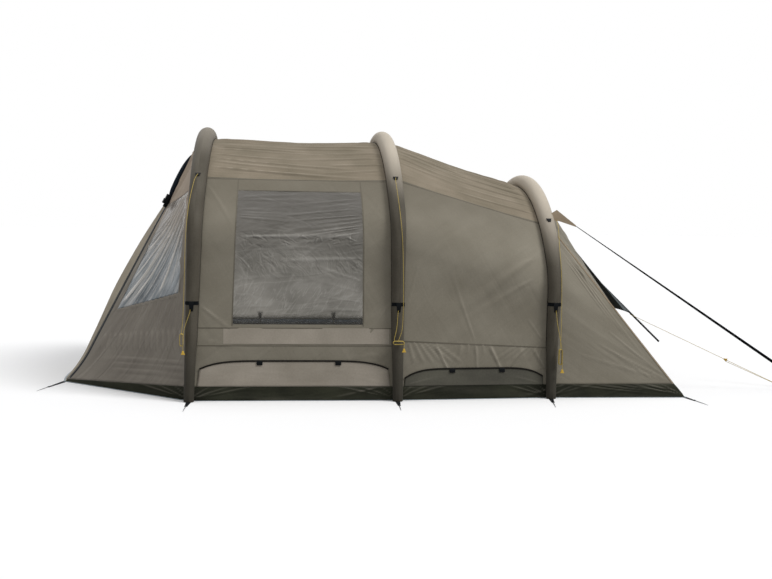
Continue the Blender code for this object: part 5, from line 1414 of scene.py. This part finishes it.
# The low vents: a cloth flap outside the foot of each wall, hinged along the mudwall. Dark piping
# stiffens its top edge, two webbing tabs with hook tape close it, and insect mesh lies behind it.
VENT_TOP = {"front": (0.284, 0.226), "rear": (0.225, 0.16)}
VENT_SIDE_GAP = 0.008
VENT_SIDE_Z = 0.31
VENT_ROWS, VENT_COLUMNS = 17, 90
MESH_RISES = (0.06, 0.93)
MESH_ROWS = 8
MESH_THICK = 0.0004
VENT_FACE_GAP = 0.001
VENT_TAB_SHARES = {"front": (0.31, 0.73), "rear": (0.33, 0.7)}
VENT_TAB_WIDTH = 0.042
VENT_TAB_DROP = 0.03
VENT_PIPING = 0.012
# Painted shadow: the rear bay's flaps take a darker copy of the vent cloth, for the shade that falls on them
# under the wall.
dim_vent_finish = cloth_finish("shaded_polycotton_vent", "54524a", "666459", pull=((0, 8, 5, 0.006),))
mesh_finish = cloth_finish("dark_insect_mesh", "2d2c29", "4a4843", rough=0.9)
for bay, first, second in (("front", FRONT, MIDDLE), ("rear", MIDDLE, REAR)):
    long = second.foot_x - first.foot_x
    margins = [(beam.radius(VENT_SIDE_Z) + VENT_SIDE_GAP) / long for beam in (first, second)]
    shares = np.linspace(margins[0], 1 - margins[1], VENT_COLUMNS + 1)
    top, end = VENT_TOP[bay]
    middle = 1 - np.abs(np.linspace(-1, 1, VENT_COLUMNS + 1)) ** 6
    for side, hand in HANDS.items():
        face = CLOTH + VENT_FACE_GAP
        foot, head = bay_grid(first, second, (0, 1), shares, hand, 0.0, out=face)
        high = (mix(end, top, middle) - foot[:, 2]) / (head[:, 2] - foot[:, 2])
        points = np.array([mix(foot, head, (high * rise)[:, None]) for rise in np.linspace(0, 1, VENT_ROWS)])
        body = "low_vent_%s_%s" % (bay, side)
        _, (base, normal) = panel(
            "vent_flap_%s_%s" % (bay, side), points, vent_finish if bay == "front" else dim_vent_finish,
            "vent", body, body=body, folds=both_ways([((0.02, 0.1), (0.25, 0.5), 0.012, 0.0012, 0.4)]),
            held="hung", rests_on=["mudwall_" + side]
        )
        edge = [Vector(spot) + Vector(out) * 0.0012 for spot, out in zip(base[-1], normal[-1])]
        piping = cord_curve("vent_piping_%s_%s" % (bay, side), edge, VENT_PIPING, piping_finish)
        put(piping, body, "vent", None)
        for i, share in enumerate(VENT_TAB_SHARES[bay]):
            j = int(round(share * VENT_COLUMNS))
            spot, out = Vector(base[-1][j]), Vector(normal[-1][j])
            along = Vector(base[-1][j + 1] - base[-1][j - 1]).normalized()
            down = out.cross(along).normalized()
            if down.z > 0:
                down = -down
            tab = shaped_block(
                "vent_tab_%s_%s_%d" % (bay, side, i), (VENT_TAB_DROP, VENT_TAB_WIDTH, WEBBING * 2),
                spot + down * (VENT_TAB_DROP / 2) + out * (VENT_PIPING / 2), axes_of(down, out), WEBBING / 2
            )
            put(tab, body, "webbing", fitting_finish)
        mesh_points = np.array(
            [mix(foot, head, (high * rise)[:, None]) for rise in np.linspace(*MESH_RISES, MESH_ROWS)]
        )
        mesh_points -= normal[:MESH_ROWS] * (VENT_FACE_GAP + CLOTH * 0.35)
        panel(
            "vent_mesh_%s_%s" % (bay, side), mesh_points, mesh_finish, "vent", thick=MESH_THICK,
            rests_on=["wall_cloth_%s_%s" % (bay, side)]
        )


# The rolled curtain: navy cloth rolled up along the window's foot inside, and held by two loops.
WINDOW_FOOT = 0.59
CURTAIN_RADIUS = 0.02
CURTAIN_DROP = 0.022
CURTAIN_ROWS = 80
CURTAIN_SIDES = 32
CURTAIN_TIE_DIAMETER = 0.007
CURTAIN_TIE_RISE = 0.07
curtain_finish = cloth_finish("navy_rolled_curtain", "0f1a24", "1a2834", rough=0.75, sheen=0.0)
for side, hand in HANDS.items():
    low = WINDOW_FOOT - CURTAIN_DROP
    inward = CURTAIN_RADIUS + CLOTH / 2 + SEAM_GAP + wall_sag(FRONT)(2)
    place = float(np.interp(low, (WALL_LOW, *FRONT.steps), range(4)))
    shares = np.linspace(*WINDOW_SHARES, CURTAIN_ROWS + 1)
    line = bay_grid(FRONT, MIDDLE, (place,), shares, hand, 0.0, out=-inward)[0]
    rows, uv = [], []
    for i, spot in enumerate(line):
        row, uv_row = [], []
        for j in range(CURTAIN_SIDES + 1):
            turn = 2 * math.pi * j / CURTAIN_SIDES
            wind = 0.0012 * math.sin(i * 0.9 + 3 * turn) + 0.001 * math.cos(i * 0.31 + turn)
            lap = 0.0016 * (j / CURTAIN_SIDES - 0.5)
            squeeze = 1 - 0.1 * max(
                math.exp(-((i / CURTAIN_ROWS - share) / 0.012) ** 2) for share in CURTAIN_TIE_SHARES
            )
            long = (CURTAIN_RADIUS - 0.002 + wind + lap) * squeeze
            row.append(Vector(spot) + Vector((0, math.cos(turn) * long, math.sin(turn) * long)))
            uv_row.append((i / CURTAIN_ROWS, CURTAIN_RADIUS * turn))
        row[-1] = row[0]
        rows.append(row)
        uv.append(uv_row)
    roll = close_tube(grid_mesh("curtain_" + side, rows, uv))
    put(roll, "tent", "curtain", curtain_finish, "curtain_roll_" + side)
    for i, share in enumerate(CURTAIN_TIE_SHARES):
        spot = Vector(line[int(round(share * CURTAIN_ROWS))])
        ring = []
        for j in range(25):
            turn = 2 * math.pi * j / 24
            high = CURTAIN_TIE_RISE if math.sin(turn) > 0 else CURTAIN_RADIUS
            ring.append(spot + Vector((0, math.cos(turn) * CURTAIN_RADIUS * 0.9, math.sin(turn) * high)))
        tie = cord_curve("curtain_tie_%s_%d" % (side, i), ring, CURTAIN_TIE_DIAMETER, webbing_finish)
        put(tie, "tent", "webbing", None)


# The front wings: panels from the front beam to the zip lines, with a clear film in the upper part.
# The zip lines run down from the arch's top to the front corners and flare at the ground.
CORNER_X = -2.4565
CORNER_Y = 0.52
KNEE_X = -2.2725
KNEE_Z = 0.245
ZIP_TOP_X = -1.4625
ZIP_TOP_Y = 0.5
ZIP_TOP_Z = 1.805
ZIP_GAP = 0.002
ZIP_TAPE = 0.026
ZIP_FLAP = 0.04
TAPE_LIFT = CLOTH / 2 + 0.001
TAPE_THICK = 0.0016
FLAP_PLACES = (8.4, 10.95)
FLAP_SHARE = 0.965
FLAP_PROUD = 0.02
FLAP_WIDE = 0.014
FLAP_ROWS = 49
WING_SAG = 0.03
WING_ZIP_HEIGHTS = (
    0.245, 0.42, 0.56, 0.9292, 1.0359, 1.1363, 1.2249, 1.3944, 1.4946, 1.6736, 1.805, 1.805, 1.805
)


def zip_point(z, hand):
    """A point of the zip line, which runs straight down from the top and flares out at its foot."""
    if z >= KNEE_Z:
        rise = (z - KNEE_Z) / (ZIP_TOP_Z - KNEE_Z)
        return Vector((mix(KNEE_X, ZIP_TOP_X, rise), hand * mix(CORNER_Y, ZIP_TOP_Y, rise), z))
    rise = z / KNEE_Z
    slope = (ZIP_TOP_X - KNEE_X) / (ZIP_TOP_Z - KNEE_Z) * KNEE_Z
    pull = KNEE_X - CORNER_X - slope
    return Vector((KNEE_X - slope * (1 - rise) - pull * (1 - rise) ** 2, hand * CORNER_Y, z))


def wing_grid(places, shares, hand):
    """Points of a wing from the front beam's flank (share 0) to the zip line (share 1)."""
    rows = []
    shares = np.array(shares, float)[:, None]
    for place in places:
        start = fly_edge(FRONT, FRONT.station(place, WALL_LOW), -1, hand)
        if place <= 11:
            heights = (FRONT_MUDWALL_TOP + SEAM_GAP, *WING_ZIP_HEIGHTS)
            end = zip_point(float(np.interp(place, range(14), heights)), hand)
        else:
            end = Vector((ZIP_TOP_X, hand * ZIP_TOP_Y * (13 - place) / 2, ZIP_TOP_Z))
        if place >= 13:
            start.y = end.y = hand * SEAM_GAP
        rise = min(max((place - 1) / 10, 0.0), 1.0)
        inward = np.array(Vector((1, -hand, 0)).normalized()) * (WING_SAG * math.sin(math.pi * rise))
        rows.append(mix(np.array(start), np.array(end), shares) + inward * np.sin(np.pi * shares))
    return np.array(rows)


wing_finish = cloth_finish("dark_taupe_polycotton_wing", "8c857b", "9a9388", pull=((-58, 8, 9, 0.03),))
# Painted light: the wing's cloth is paler towards its top.
painted_light_by_height(wing_finish, 1.0, 1.55, 0.8, "c2b09c")
zip_finish = cloth_finish("dark_zip_tape", "141c24", "1f2932", rough=0.6, sheen=0.0)
WING_ROWS, WING_COLUMNS = 195, 100
WING_CREST = 0.0045
WING_VEIL = 0.8
WING_PLACES = np.round(np.linspace(0, 13, WING_ROWS + 1), 4)
WING_SHARES = np.round(np.linspace(0, 1, WING_COLUMNS + 1), 5)
FILM_PLACES = (3.0, 8.0)
FILM_SHARES = (0.1, 0.9)
FILM_ROWS, FILM_COLUMNS = 170, 150
first_row, last_row = (int(np.argmin(np.abs(WING_PLACES - place))) for place in FILM_PLACES)
first_column, last_column = (int(np.argmin(np.abs(WING_SHARES - share))) for share in FILM_SHARES)
wing_opening = {(i, j) for i in range(first_row, last_row) for j in range(first_column, last_column)}
WING_FOLDS = (
    [((0.02 + 0.065 * i, 0.315 - 0.002 * i), (0.15 + 0.06 * i, 0.075), 0.016, 0.011, 0.4) for i in range(11)]
    + [((0.05 + 0.06 * i, 0.088), (0.055 + 0.06 * i, 0.135), 0.014, 0.007, 0.1) for i in range(15)]
    + [((0.01, 0.012 + 0.016 * i), (0.6 + 0.09 * i, 0.016 + 0.014 * i), 0.011, 0.009, 0.5) for i in range(4)]
    + [((0.0, 0.74 + 0.04 * i), (0.95, 0.63 + 0.039 * i), 0.013, 0.013, 0.1) for i in range(6)]
    + [((0.01, 0.5), (0.2, 0.66), 0.016, 0.009, 0.4), ((0.02, 0.6), (0.96, 0.24), 0.02, 0.009, 0.3)]
)
# The film's dark tone is partly painted shade, for the dark inside seen through it, and its streaks are
# painted highlights.
wing_film_finish = film_of(
    "streaked_clear_pvc_film", "5a646b", "b4bbbf", "fffaf2",
    ((-56, 3.5, 12, 0.3, 0.06, 0.35, -0.2, 2.0), (-52, 9, 12, 0.3, 0.018, 0.25, -0.2, 2.0)), rough=0.18
)
# Painted light: the wing's film is paler towards its top.
painted_light_by_height(wing_film_finish, 0.95, 1.35, 0.6, "c4b5a4")
WING_FILM_FOLDS = [
    ((0.02, 0.95), (0.98, 0.02), 0.024, 0.012, 0.1), ((0.05, 1.0), (0.99, 0.12), 0.014, 0.009, 0.1),
    ((0.0, 0.86), (0.8, 0.02), 0.016, 0.01, 0.2), ((0.02, 0.74), (0.6, 0.02), 0.008, 0.006, 0.2),
    ((0.03, 0.6), (0.34, 0.02), 0.018, 0.01, 0.2), ((0.0, 0.46), (0.16, 0.03), 0.008, 0.006, 0.3),
    ((0.1, 1.0), (0.99, 0.3), 0.018, 0.01, 0.2), ((0.2, 1.0), (0.99, 0.46), 0.008, 0.006, 0.2),
    ((0.3, 1.0), (0.99, 0.62), 0.01, 0.0065, 0.2), ((0.28, 0.62), (0.7, 0.2), 0.008, 0.005, 0.3),
    ((0.5, 0.4), (0.9, 0.05), 0.01, 0.006, 0.3)
] + film_creases(41, 14, (0.05, 0.05, 0.95, 0.5), 0.12, 0.007, 0.003, 2.4)
for side, hand in HANDS.items():
    _, laid = panel(
        "wing_cloth_" + side, wing_grid(WING_PLACES, WING_SHARES, hand), wing_finish, "wing", "wing_" + side,
        away=(-1.2, 0, 0.7), lean=0.7, folds=WING_FOLDS, swell=(51, 0.002, 0.5), skip=wing_opening,
        rests_on=["beam_sleeve_front"]
    )
    points = wing_grid(np.linspace(*FILM_PLACES, FILM_ROWS), np.linspace(*FILM_SHARES, FILM_COLUMNS), hand)
    film, _ = panel(
        "wing_film_" + side, points, wing_film_finish, "film", "wing_window_" + side, away=(-1.2, 0, 0.7),
        folds=WING_FILM_FOLDS, swell=(52, 0.003, 0.4), thick=FILM, rests_on=["wing_cloth_" + side]
    )
    mark(film, "veil", np.full(points.shape[:2], WING_VEIL))
    # Painted highlights along the creases' crests, and painted shade in their hollows.
    mark(film, "crest", creases(points, WING_FILM_FOLDS) / WING_CREST)
    low, high = first_row / WING_ROWS, last_row / WING_ROWS
    near, far = first_column / WING_COLUMNS, last_column / WING_COLUMNS
    for name, start, end in (
        ("sill", (near - 0.01, low - 0.008), (far + 0.01, low - 0.008)),
        ("flank", (near - 0.02, low), (near - 0.02, high)),
        ("head", (near - 0.01, high + 0.008), (far + 0.01, high + 0.008))
    ):
        strip("wing_seam_%s_%s" % (name, side), laid, line_of(start, end), 0.011, wing_finish, slot="wing")
    tape = line_of((0.988, 0.004), (0.988, 10.9 / 13), 90)
    bunched = [max(1 - ((up * 13 - 9.2) / 2.1) ** 2, 0.0) for _, up in tape]
    wides = [mix(ZIP_TAPE * 0.6, ZIP_FLAP, share) for share in bunched]
    strip("zip_tape_" + side, laid, tape, wides, zip_finish, TAPE_LIFT, TAPE_THICK, slot="wing")
    taut = wing_grid(np.linspace(*FLAP_PLACES, FLAP_ROWS + 1), [FLAP_SHARE], hand)[:, 0]
    normal = laid[1]
    out = Vector(normal[int(0.8 * len(normal)), int(FLAP_SHARE * WING_COLUMNS)])
    rows = []
    for row, share in enumerate(np.linspace(0, 1, FLAP_ROWS)):
        ahead = Vector(taut[row + 1] - taut[row]).normalized()
        full = math.sin(math.pi * share) ** 0.6
        proud, wide = mix(0.004, FLAP_PROUD, full), mix(0.006, FLAP_WIDE, full)
        beside = ahead.cross(out).normalized()
        middle = Vector(taut[row]) + out * (proud + CLOTH)
        turns = np.linspace(0, 2 * math.pi, 25)[:-1]
        rows.append([middle + out * (math.sin(t) * proud) + beside * (math.cos(t) * wide) for t in turns])
    flap = close_tube(grid_mesh("storm_flap_" + side, rows))
    put(flap, "tent", "wing", zip_finish)


# The front door: one cloth panel, bowed outwards between the zip lines and hinged along its top. Its
# zips close on both sides, and its foot lies on the ground.
DOOR_BULGES = (0.003, 0.082, 0.045)
DOOR_ROWS, DOOR_COLUMNS = 141, 91
door_finish = cloth_finish("pale_polycotton_door", "9b917e", "b5aa96")
rows = []
for drop in np.linspace(0, 1, DOOR_ROWS):
    z = mix(ZIP_TOP_Z - 2.5 * ZIP_GAP, HEM, drop)
    edge = zip_point(z, 1)
    bow = mix(DOOR_BULGES[0], DOOR_BULGES[2], drop) + DOOR_BULGES[1] * math.sin(math.pi * drop)
    across = np.linspace(-1, 1, DOOR_COLUMNS)
    rows.append(
        np.stack(
            [edge.x - bow * (1 - across**2), (edge.y - ZIP_GAP) * across, np.full(DOOR_COLUMNS, z)], axis=1
        )
    )
_, laid = panel(
    "door_cloth", np.array(rows), door_finish, "door", "front_door", body="door", away=(-1.2, 0, 0.7),
    folds=both_ways(
        [
            ((0.5, 0.0), (0.3, 0.75), 0.03, 0.005, 0.5), ((0.05, 0.02), (0.2, 0.55), 0.016, 0.004, 0.6),
            ((0.1, 0.98), (0.25, 0.62), 0.018, 0.0045, 0.5)
        ]
    ),
    swell=(61, 0.003, 0.6), held="hung", rests_on=["wing_cloth_left", "wing_cloth_right"]
)
for side, across in (("left", 0.014), ("right", 0.986)):
    tape = line_of((across, 0.006), (across, 0.992), 90)
    strip("door_tape_" + side, laid, tape, ZIP_TAPE * 0.7, zip_finish, TAPE_LIFT, TAPE_THICK, "door", "door")

# The zip pullers: a moulded acetal slider on each zip line, drawn well down from its top, with a
# side-release buckle hooked to it and a short stiff tail that the hand takes.
PULLER_HALF = 0.012
PULLER_PLACE = (-1.6588, 0.5196, 1.431)
PULLER_DOWN = (-0.4608, 0.0114, -0.8874)
PULLER_ACROSS = (0.2062, 0.9739, -0.0946)
PULLER_OUT = (-0.8632, 0.2265, 0.4511)
PULLER_BUCKLES = ((-0.024, 0.046, 0.04), (0.016, 0.054, 0.04), (0.048, 0.028, 0.024))
for side, hand in HANDS.items():
    placed = (PULLER_PLACE, PULLER_DOWN, PULLER_ACROSS, PULLER_OUT)
    spot, down, across, out = (Vector((x, y * hand, z)) for x, y, z in placed)
    axes = axes_of(down, out)
    body = "zip_puller_" + side
    slider = shaped_block("zip_slider_" + side, (0.09, 0.03, 0.01), spot, axes, 0.003, taper=0.75)
    put(slider, body, "fitting", fitting_finish, body)
    for i, (run, wide, long) in enumerate(PULLER_BUCKLES):
        buckle = shaped_block(
            "zip_buckle_%s_%d" % (side, i), (long, wide, wide * 0.8),
            spot + down * run + out * wide * 0.35 + across * (wide / 2 - PULLER_HALF), axes, 0.0035
        )
        put(buckle, body, "fitting", fitting_finish)


# The rear end: one sloping panel from the rear beam to the ground, with a triangle each side. Two
# piping lines run down each edge where the triangle meets the slope.
REAR_CORNER_X = 2.2545
REAR_CORNER_Y = 1.381
REAR_EDGE_BOW = 0.0755


def rear_ground(share):
    return np.array((REAR_CORNER_X + REAR_EDGE_BOW * (1 - share**2), REAR_CORNER_Y * share, 0.0))


def rear_arch(across):
    """A point of the rear beam's rear flank, across the slope from the near junction to the far one."""
    turn = min(across, 1 - across) * 10
    angle = float(np.interp(turn, (0, 1, 5), (WINDOW_TOP_ANGLE, SEAM_ANGLE, math.pi / 2)))
    return np.array(fly_edge(REAR, REAR.at(angle), 1, -1 if across <= 0.5 else 1))


JUNCTION_Z = rear_arch(0)[2]
SIDE_COLUMNS = 70
SLOPE_COLUMNS = 160
arch = np.array([rear_arch(i / SLOPE_COLUMNS) for i in range(SLOPE_COLUMNS + 1)])
ground = np.array([rear_ground(2 * i / SLOPE_COLUMNS - 1) for i in range(SLOPE_COLUMNS + 1)])


def rear_row(station):
    """One row of the rear end: near side, slope and far side."""
    edge = np.array(fly_edge(REAR, station, 1, -1))
    slope = mix(ground, arch, edge[2] / JUNCTION_Z)
    near = np.array([mix(edge, slope[0], i / SIDE_COLUMNS) for i in range(SIDE_COLUMNS)])
    far = near[::-1] * np.array((1, -1, 1))
    return np.concatenate([near, slope, far])


REAR_SLOPE_FOLDS = [
    ((0.225, 0.02), (0.1, 0.22), 0.012, 0.0055, 0.5), ((0.225, 0.02), (0.05, 0.14), 0.012, 0.005, 0.5),
    ((0.2, 0.02), (0.14, 0.16), 0.01, 0.0045, 0.5), ((0.225, 0.03), (0.15, 0.3), 0.012, 0.005, 0.5),
    ((0.24, 0.95), (0.4, 0.45), 0.018, 0.0055, 0.6), ((0.3, 0.97), (0.45, 0.6), 0.016, 0.005, 0.6),
    ((0.25, 0.05), (0.34, 0.3), 0.016, 0.006, 0.5)
]
for i in range(8):
    start, end = (0.01 + 0.024 * i, 0.97 - 0.03 * (i % 3)), (0.215 - 0.012 * (i % 4), 0.1 + 0.1 * i)
    REAR_SLOPE_FOLDS.append((start, end, 0.009, 0.0042, 0.6))

_, laid = panel(
    "rear_cloth", np.array([rear_row(REAR.station(place, WALL_LOW)) for place in np.linspace(0, 8, 121)]),
    wall_finish, "wall", "rear_end", away=(1.3, 0, 0.2), folds=both_ways(REAR_SLOPE_FOLDS),
    swell=(71, 0.002, 0.6), rests_on=["beam_sleeve_rear"]
)
whole = 2 * SIDE_COLUMNS + SLOPE_COLUMNS
for side in HANDS:
    for i, column in enumerate((SIDE_COLUMNS - 0.8, SIDE_COLUMNS + 1.8)):
        across = (column if side == "left" else whole - column) / whole
        spots = line_of((across, 0.002), (across, 0.985), 80)
        strip("rear_piping_%s_%d" % (side, i), laid, spots, 0.006, tab_finish, 0.0022, 0.0035)


# The mudwall: heavier coated polyester, charcoal, sewn all round the fly's foot and to the groundsheet.
# Each half runs from a front corner to the middle of the rear edge, and gathers behind the beams' feet.
FRONT_STEPS = 60
BAY_STEPS = 80
MUDWALL_ROWS = 15
FOOT_PLEATS = 7
mudwall_finish = cloth_finish(
    "charcoal_coated_mudwall", "24251d", "37382c", rough=0.8, sheen=0.0, pull=((8, 11, 5, 0.02),)
)


def mudwall_line(hand, lower):
    """The mudwall's lower or upper edge, from a front corner to the middle of the rear edge."""
    flank = HEM if lower else MUDWALL_TOP - SEAM_GAP
    corner = HEM if lower else FRONT_MUDWALL_TOP - SEAM_GAP
    start, end = zip_point(corner, hand), fly_edge(FRONT, FRONT.on_leg(flank), -1, hand)
    line = [mix(np.array(start), np.array(end), i / FRONT_STEPS) for i in range(FRONT_STEPS + 1)]
    for first, second in ((FRONT, MIDDLE), (MIDDLE, REAR)):
        stations = [beam.on_leg(flank) for beam in (first, second)]
        ends = (fly_edge(first, stations[0], 1, hand), fly_edge(second, stations[1], -1, hand))
        line += [mix(np.array(ends[0]), np.array(ends[1]), i / BAY_STEPS) for i in range(BAY_STEPS + 1)]
    half = rear_row(REAR.on_leg(flank))[: SIDE_COLUMNS + SLOPE_COLUMNS // 2 + 1]
    half = half * np.array((1, 1 if hand < 0 else -1, 1))
    if lower:
        half[:, 2] = flank
    half[-1, 1] = hand * SEAM_GAP
    return np.array(line + list(half))


for side, hand in HANDS.items():
    edges = [mudwall_line(hand, lower) for lower in (True, False)]
    points = np.array([mix(edges[0], edges[1], rise) for rise in np.linspace(0, 1, MUDWALL_ROWS)])
    count = points.shape[1] - 1
    steps = (FRONT_STEPS + 1, BAY_STEPS + 1, BAY_STEPS + 1, SIDE_COLUMNS)
    front, middle, rear, corner = np.cumsum(steps) / count
    folds = [
        (
            (mark_place, 0.05), (min(mark_place + (i - FOOT_PLEATS // 2) * 0.022, 0.99), 0.97), 0.008, 0.003,
            0.3
        ) for mark_place in (front, middle, rear, corner) for i in range(FOOT_PLEATS)
    ]
    folds += [((0.62, 0.9), (0.56, 0.1), 0.012, 0.003, 0.3), ((0.36, 0.9), (0.31, 0.1), 0.012, 0.003, 0.3)]
    for i in range(4):
        start, end = (mix(rear, corner, 0.15 + 0.2 * i), 0.95), (corner - 0.004, 0.1 + 0.1 * i)
        folds.append((start, end, 0.01, 0.0035, 0.3))
    panel(
        "mudwall_cloth_" + side, points, mudwall_finish, "mudwall", "mudwall_" + side, folds=folds,
        swell=(81, 0.0012, 0.3), rests_on=["groundsheet"]
    )


# The groundsheet: pale woven polyethylene, laminated, with a narrow ledge outside the mudwall. Doubled
# webbing loops are sewn under it at each beam's foot and each corner, for the pegs.
EDGE_LEDGE = 0.01
STRAP_OVERLAP = 0.05
FOOT_STRAP_WIDTH = 0.042
STRAP_END_WIDTH = 0.018
PEG_STRAP_STEPS = 24
GROUND_FRONT_STEPS, GROUND_REAR_STEPS = 12, 24
GROUND_ROWS = 25
sheet_finish = cloth_finish("pale_laminated_groundsheet", "a3adb2", "bcc5c8", rough=0.45)
half = []
for i in range(GROUND_FRONT_STEPS + 1):
    share = i / GROUND_FRONT_STEPS
    half.append(np.array((CORNER_X - DOOR_BULGES[2] * (1 - share**2), CORNER_Y * i / GROUND_FRONT_STEPS)))
for beam in BEAMS:
    foot = beam.surface(beam.on_leg(FLOOR), -beam.radius(0) - SEAM_GAP, hand=1)
    half.append(np.array((foot.x, foot.y)))
half += [rear_ground(1 - i / GROUND_REAR_STEPS)[:2] for i in range(GROUND_REAR_STEPS + 1)]
centre = np.array((sum(point[0] for point in half) / len(half), 0.0))
half = [point + (point - centre) / np.linalg.norm(point - centre) * EDGE_LEDGE for point in half]
outline = half + [point * np.array((1, -1)) for point in half[-2:0:-1]]


def is_middle(edge):
    return edge.verts[0].co.length < 0.5


ground_rows = []
for share in np.linspace(1, 0.02, GROUND_ROWS):
    ground_rows.append(
        [np.array((*mix(centre, point, share), BASE - CLOTH / 2)) for point in (*outline, outline[0])]
    )
ground_points = np.array(ground_rows)
made = weld(grid_mesh("ground_cloth", ground_points, ground_points[..., :2]), 0.0001, is_middle)
if sum(face.normal.z for face in made.data.polygons) < 0:
    made.data.flip_normals()
thicken(made, CLOTH)
put(made, "tent", "groundsheet", sheet_finish, "groundsheet")
area = sum((a[0] * b[1] - b[0] * a[1]) / 2 for a, b in zip(outline, outline[1:] + outline[:1]))
wide = max(point[1] for point in outline) * 2
long = max(point[0] for point in outline) - min(point[0] for point in outline)
for name, (root, turn, long) in STRAPS.items():
    for side, hand in HANDS.items():
        along, up = Vector((turn[0], turn[1] * hand, 0)).normalized(), Vector((0, 0, 1))
        beside = Vector((-along.y, along.x, 0))
        start = Vector((root[0], root[1] * hand, 0)) - along * STRAP_OVERLAP
        whole = long + STRAP_OVERLAP
        shares = [i / PEG_STRAP_STEPS for i in range(PEG_STRAP_STEPS + 1)]
        centres = [start + along * (whole * share) + up * (BASE * 0.35) for share in shares]
        wides = [mix(FOOT_STRAP_WIDTH, STRAP_END_WIDTH, share) for share in shares]
        strap_name = "peg_strap_%s_%s" % (name, side)
        loop = ribbon(strap_name, centres, [beside] * len(shares), [up] * len(shares), wides, WEBBING)
        hole = start + along * (whole - END_BAR - STRAP_SLOT_LENGTH / 2)
        cut_slot(loop, hole, (along, beside, up), BASE * 4)
        put(loop, "tent", "webbing", webbing_finish)


# The rear vent hood: a charcoal cloth hood over the vent in the rear slope, pushed out by a strut of
# black fibreglass along its ridge.
HOOD_ROOT = (1.633026, 0.0, 1.141045)
HOOD_RIDGE = (0.729, 0.0, -0.6845)
HOOD_SIDE = (0.6691, 0.0, -0.7431)
HOOD_ROOT_HALF = 0.32
HOOD_EDGE_HALF = 0.25
HOOD_LENGTH = 0.905
HOOD_CUT = 0.14
HOOD_ROWS, HOOD_COLUMNS = 61, 49
STRUT_RADIUS = 0.008
STRUT_EXTRA = 0.37
hood_finish = cloth_finish("charcoal_polyester_hood", "333a3c", "484f50", rough=0.75)
root, ridge, edge = Vector(HOOD_ROOT), Vector(HOOD_RIDGE), Vector(HOOD_SIDE)
rows = []
for run in np.linspace(0, 1, HOOD_ROWS):
    row = []
    for across in np.linspace(-1, 1, HOOD_COLUMNS):
        way = mix(ridge, edge, abs(across) ** 1.5).normalized()
        wide = mix(HOOD_ROOT_HALF, HOOD_EDGE_HALF, run) * across
        row.append(root + way * (HOOD_LENGTH * run * (1 - HOOD_CUT * abs(across))) + Vector((0, wide, 0)))
    rows.append(row)
panel(
    "hood_cloth", np.array(rows), hood_finish, "hood", "vent_hood", body="hood", away=(1.0, 0, 0.0),
    folds=both_ways(
        [((0.5, 0.98), (0.3, 0.3), 0.014, 0.0025, 0.4), ((0.04, 0.95), (0.3, 0.6), 0.012, 0.002, 0.4)]
    ),
    rests_on=["rear_cloth"]
)
under = ridge.cross(Vector((0, 1, 0))) * (STRUT_RADIUS * 0.6)
rod = [root + ridge * (HOOD_LENGTH * 0.1) + under, root + ridge * (HOOD_LENGTH + STRUT_EXTRA) + under]
strut = cord_curve(
    "hood_strut_rod", [mix(rod[0], rod[1], i / 8) for i in range(9)], STRUT_RADIUS * 2, fitting_finish
)
put(strut, "hood", "fitting", None)


# The sleeping cabin: light breathable polyester, sewn as a bag with a floor and hung inside the rear
# bay, open at its doorway.
CABIN_SECTIONS = (
    (0.17, 1.34, 1.78), (0.75, 1.31, 1.6), (1.15, 1.25, 1.44), (1.75, 1.16, 0.7), (2.08, 1.04, 0.27)
)
CABIN_POWER = 3.0
CABIN_DOOR_SHARES = (0.42, 0.82)
CABIN_DOOR_SILL = 0.1
CABIN_CLOTH = 0.001
CABIN_SAG = 0.01
CABIN_LIP = 10
CABIN_ROWS = 48
CABIN_ARCH_STEPS, CABIN_FLOOR_STEPS = 56, 16
cabin_finish = cloth_finish("pale_breathable_cabin", "77736c", "8d8881", rough=0.9)


def cabin_loop(x, half_width, height, base_z):
    """One closed section of the cabin: over its arch, then back along its floor."""
    loop = []
    for i in range(CABIN_ARCH_STEPS + 1):
        angle = math.pi * i / CABIN_ARCH_STEPS
        out_y = math.copysign(abs(math.cos(angle)) ** (2 / CABIN_POWER), -math.cos(angle))
        out_z = abs(math.sin(angle)) ** (2 / CABIN_POWER)
        loop.append(np.array((x, half_width * out_y, base_z + (height - base_z) * out_z)))
    return loop + [mix(loop[-1], loop[0], i / CABIN_FLOOR_STEPS) for i in range(1, CABIN_FLOOR_STEPS)]


cabin_lift = FLOOR + CABIN_CLOTH / 2 + SEAM_GAP
x, half_width, height = CABIN_SECTIONS[0]
loops = [
    cabin_loop(
        x, half_width * mix(CABIN_DOOR_SHARES[0], 1, i / CABIN_LIP),
        height * mix(CABIN_DOOR_SHARES[1], 1, i / CABIN_LIP), mix(CABIN_DOOR_SILL, cabin_lift, i / CABIN_LIP)
    ) for i in range(CABIN_LIP)
]
places = np.array([section[0] for section in CABIN_SECTIONS])
for x in np.linspace(places[0], places[-1], CABIN_ROWS):
    half_width, height = (float(np.interp(x, places, [s[k] for s in CABIN_SECTIONS])) for k in (1, 2))
    sag = CABIN_SAG * math.sin(9 * x) ** 2
    loops.append(cabin_loop(x, half_width - sag, height - sag, cabin_lift))
loops.append([mix(point, sum(loops[-1]) / len(loops[-1]), 0.999) for point in loops[-1]])
points = np.array([row + [row[0]] for row in loops])
u, v = spread(points)
cabin = weld(grid_mesh("cabin_cloth", points, np.stack([u, v], axis=2)), 0.0005)
thicken(cabin, CABIN_CLOTH)
put(cabin, "tent", "cabin", cabin_finish, "sleeping_cabin")
flat, area = flat_size(points)
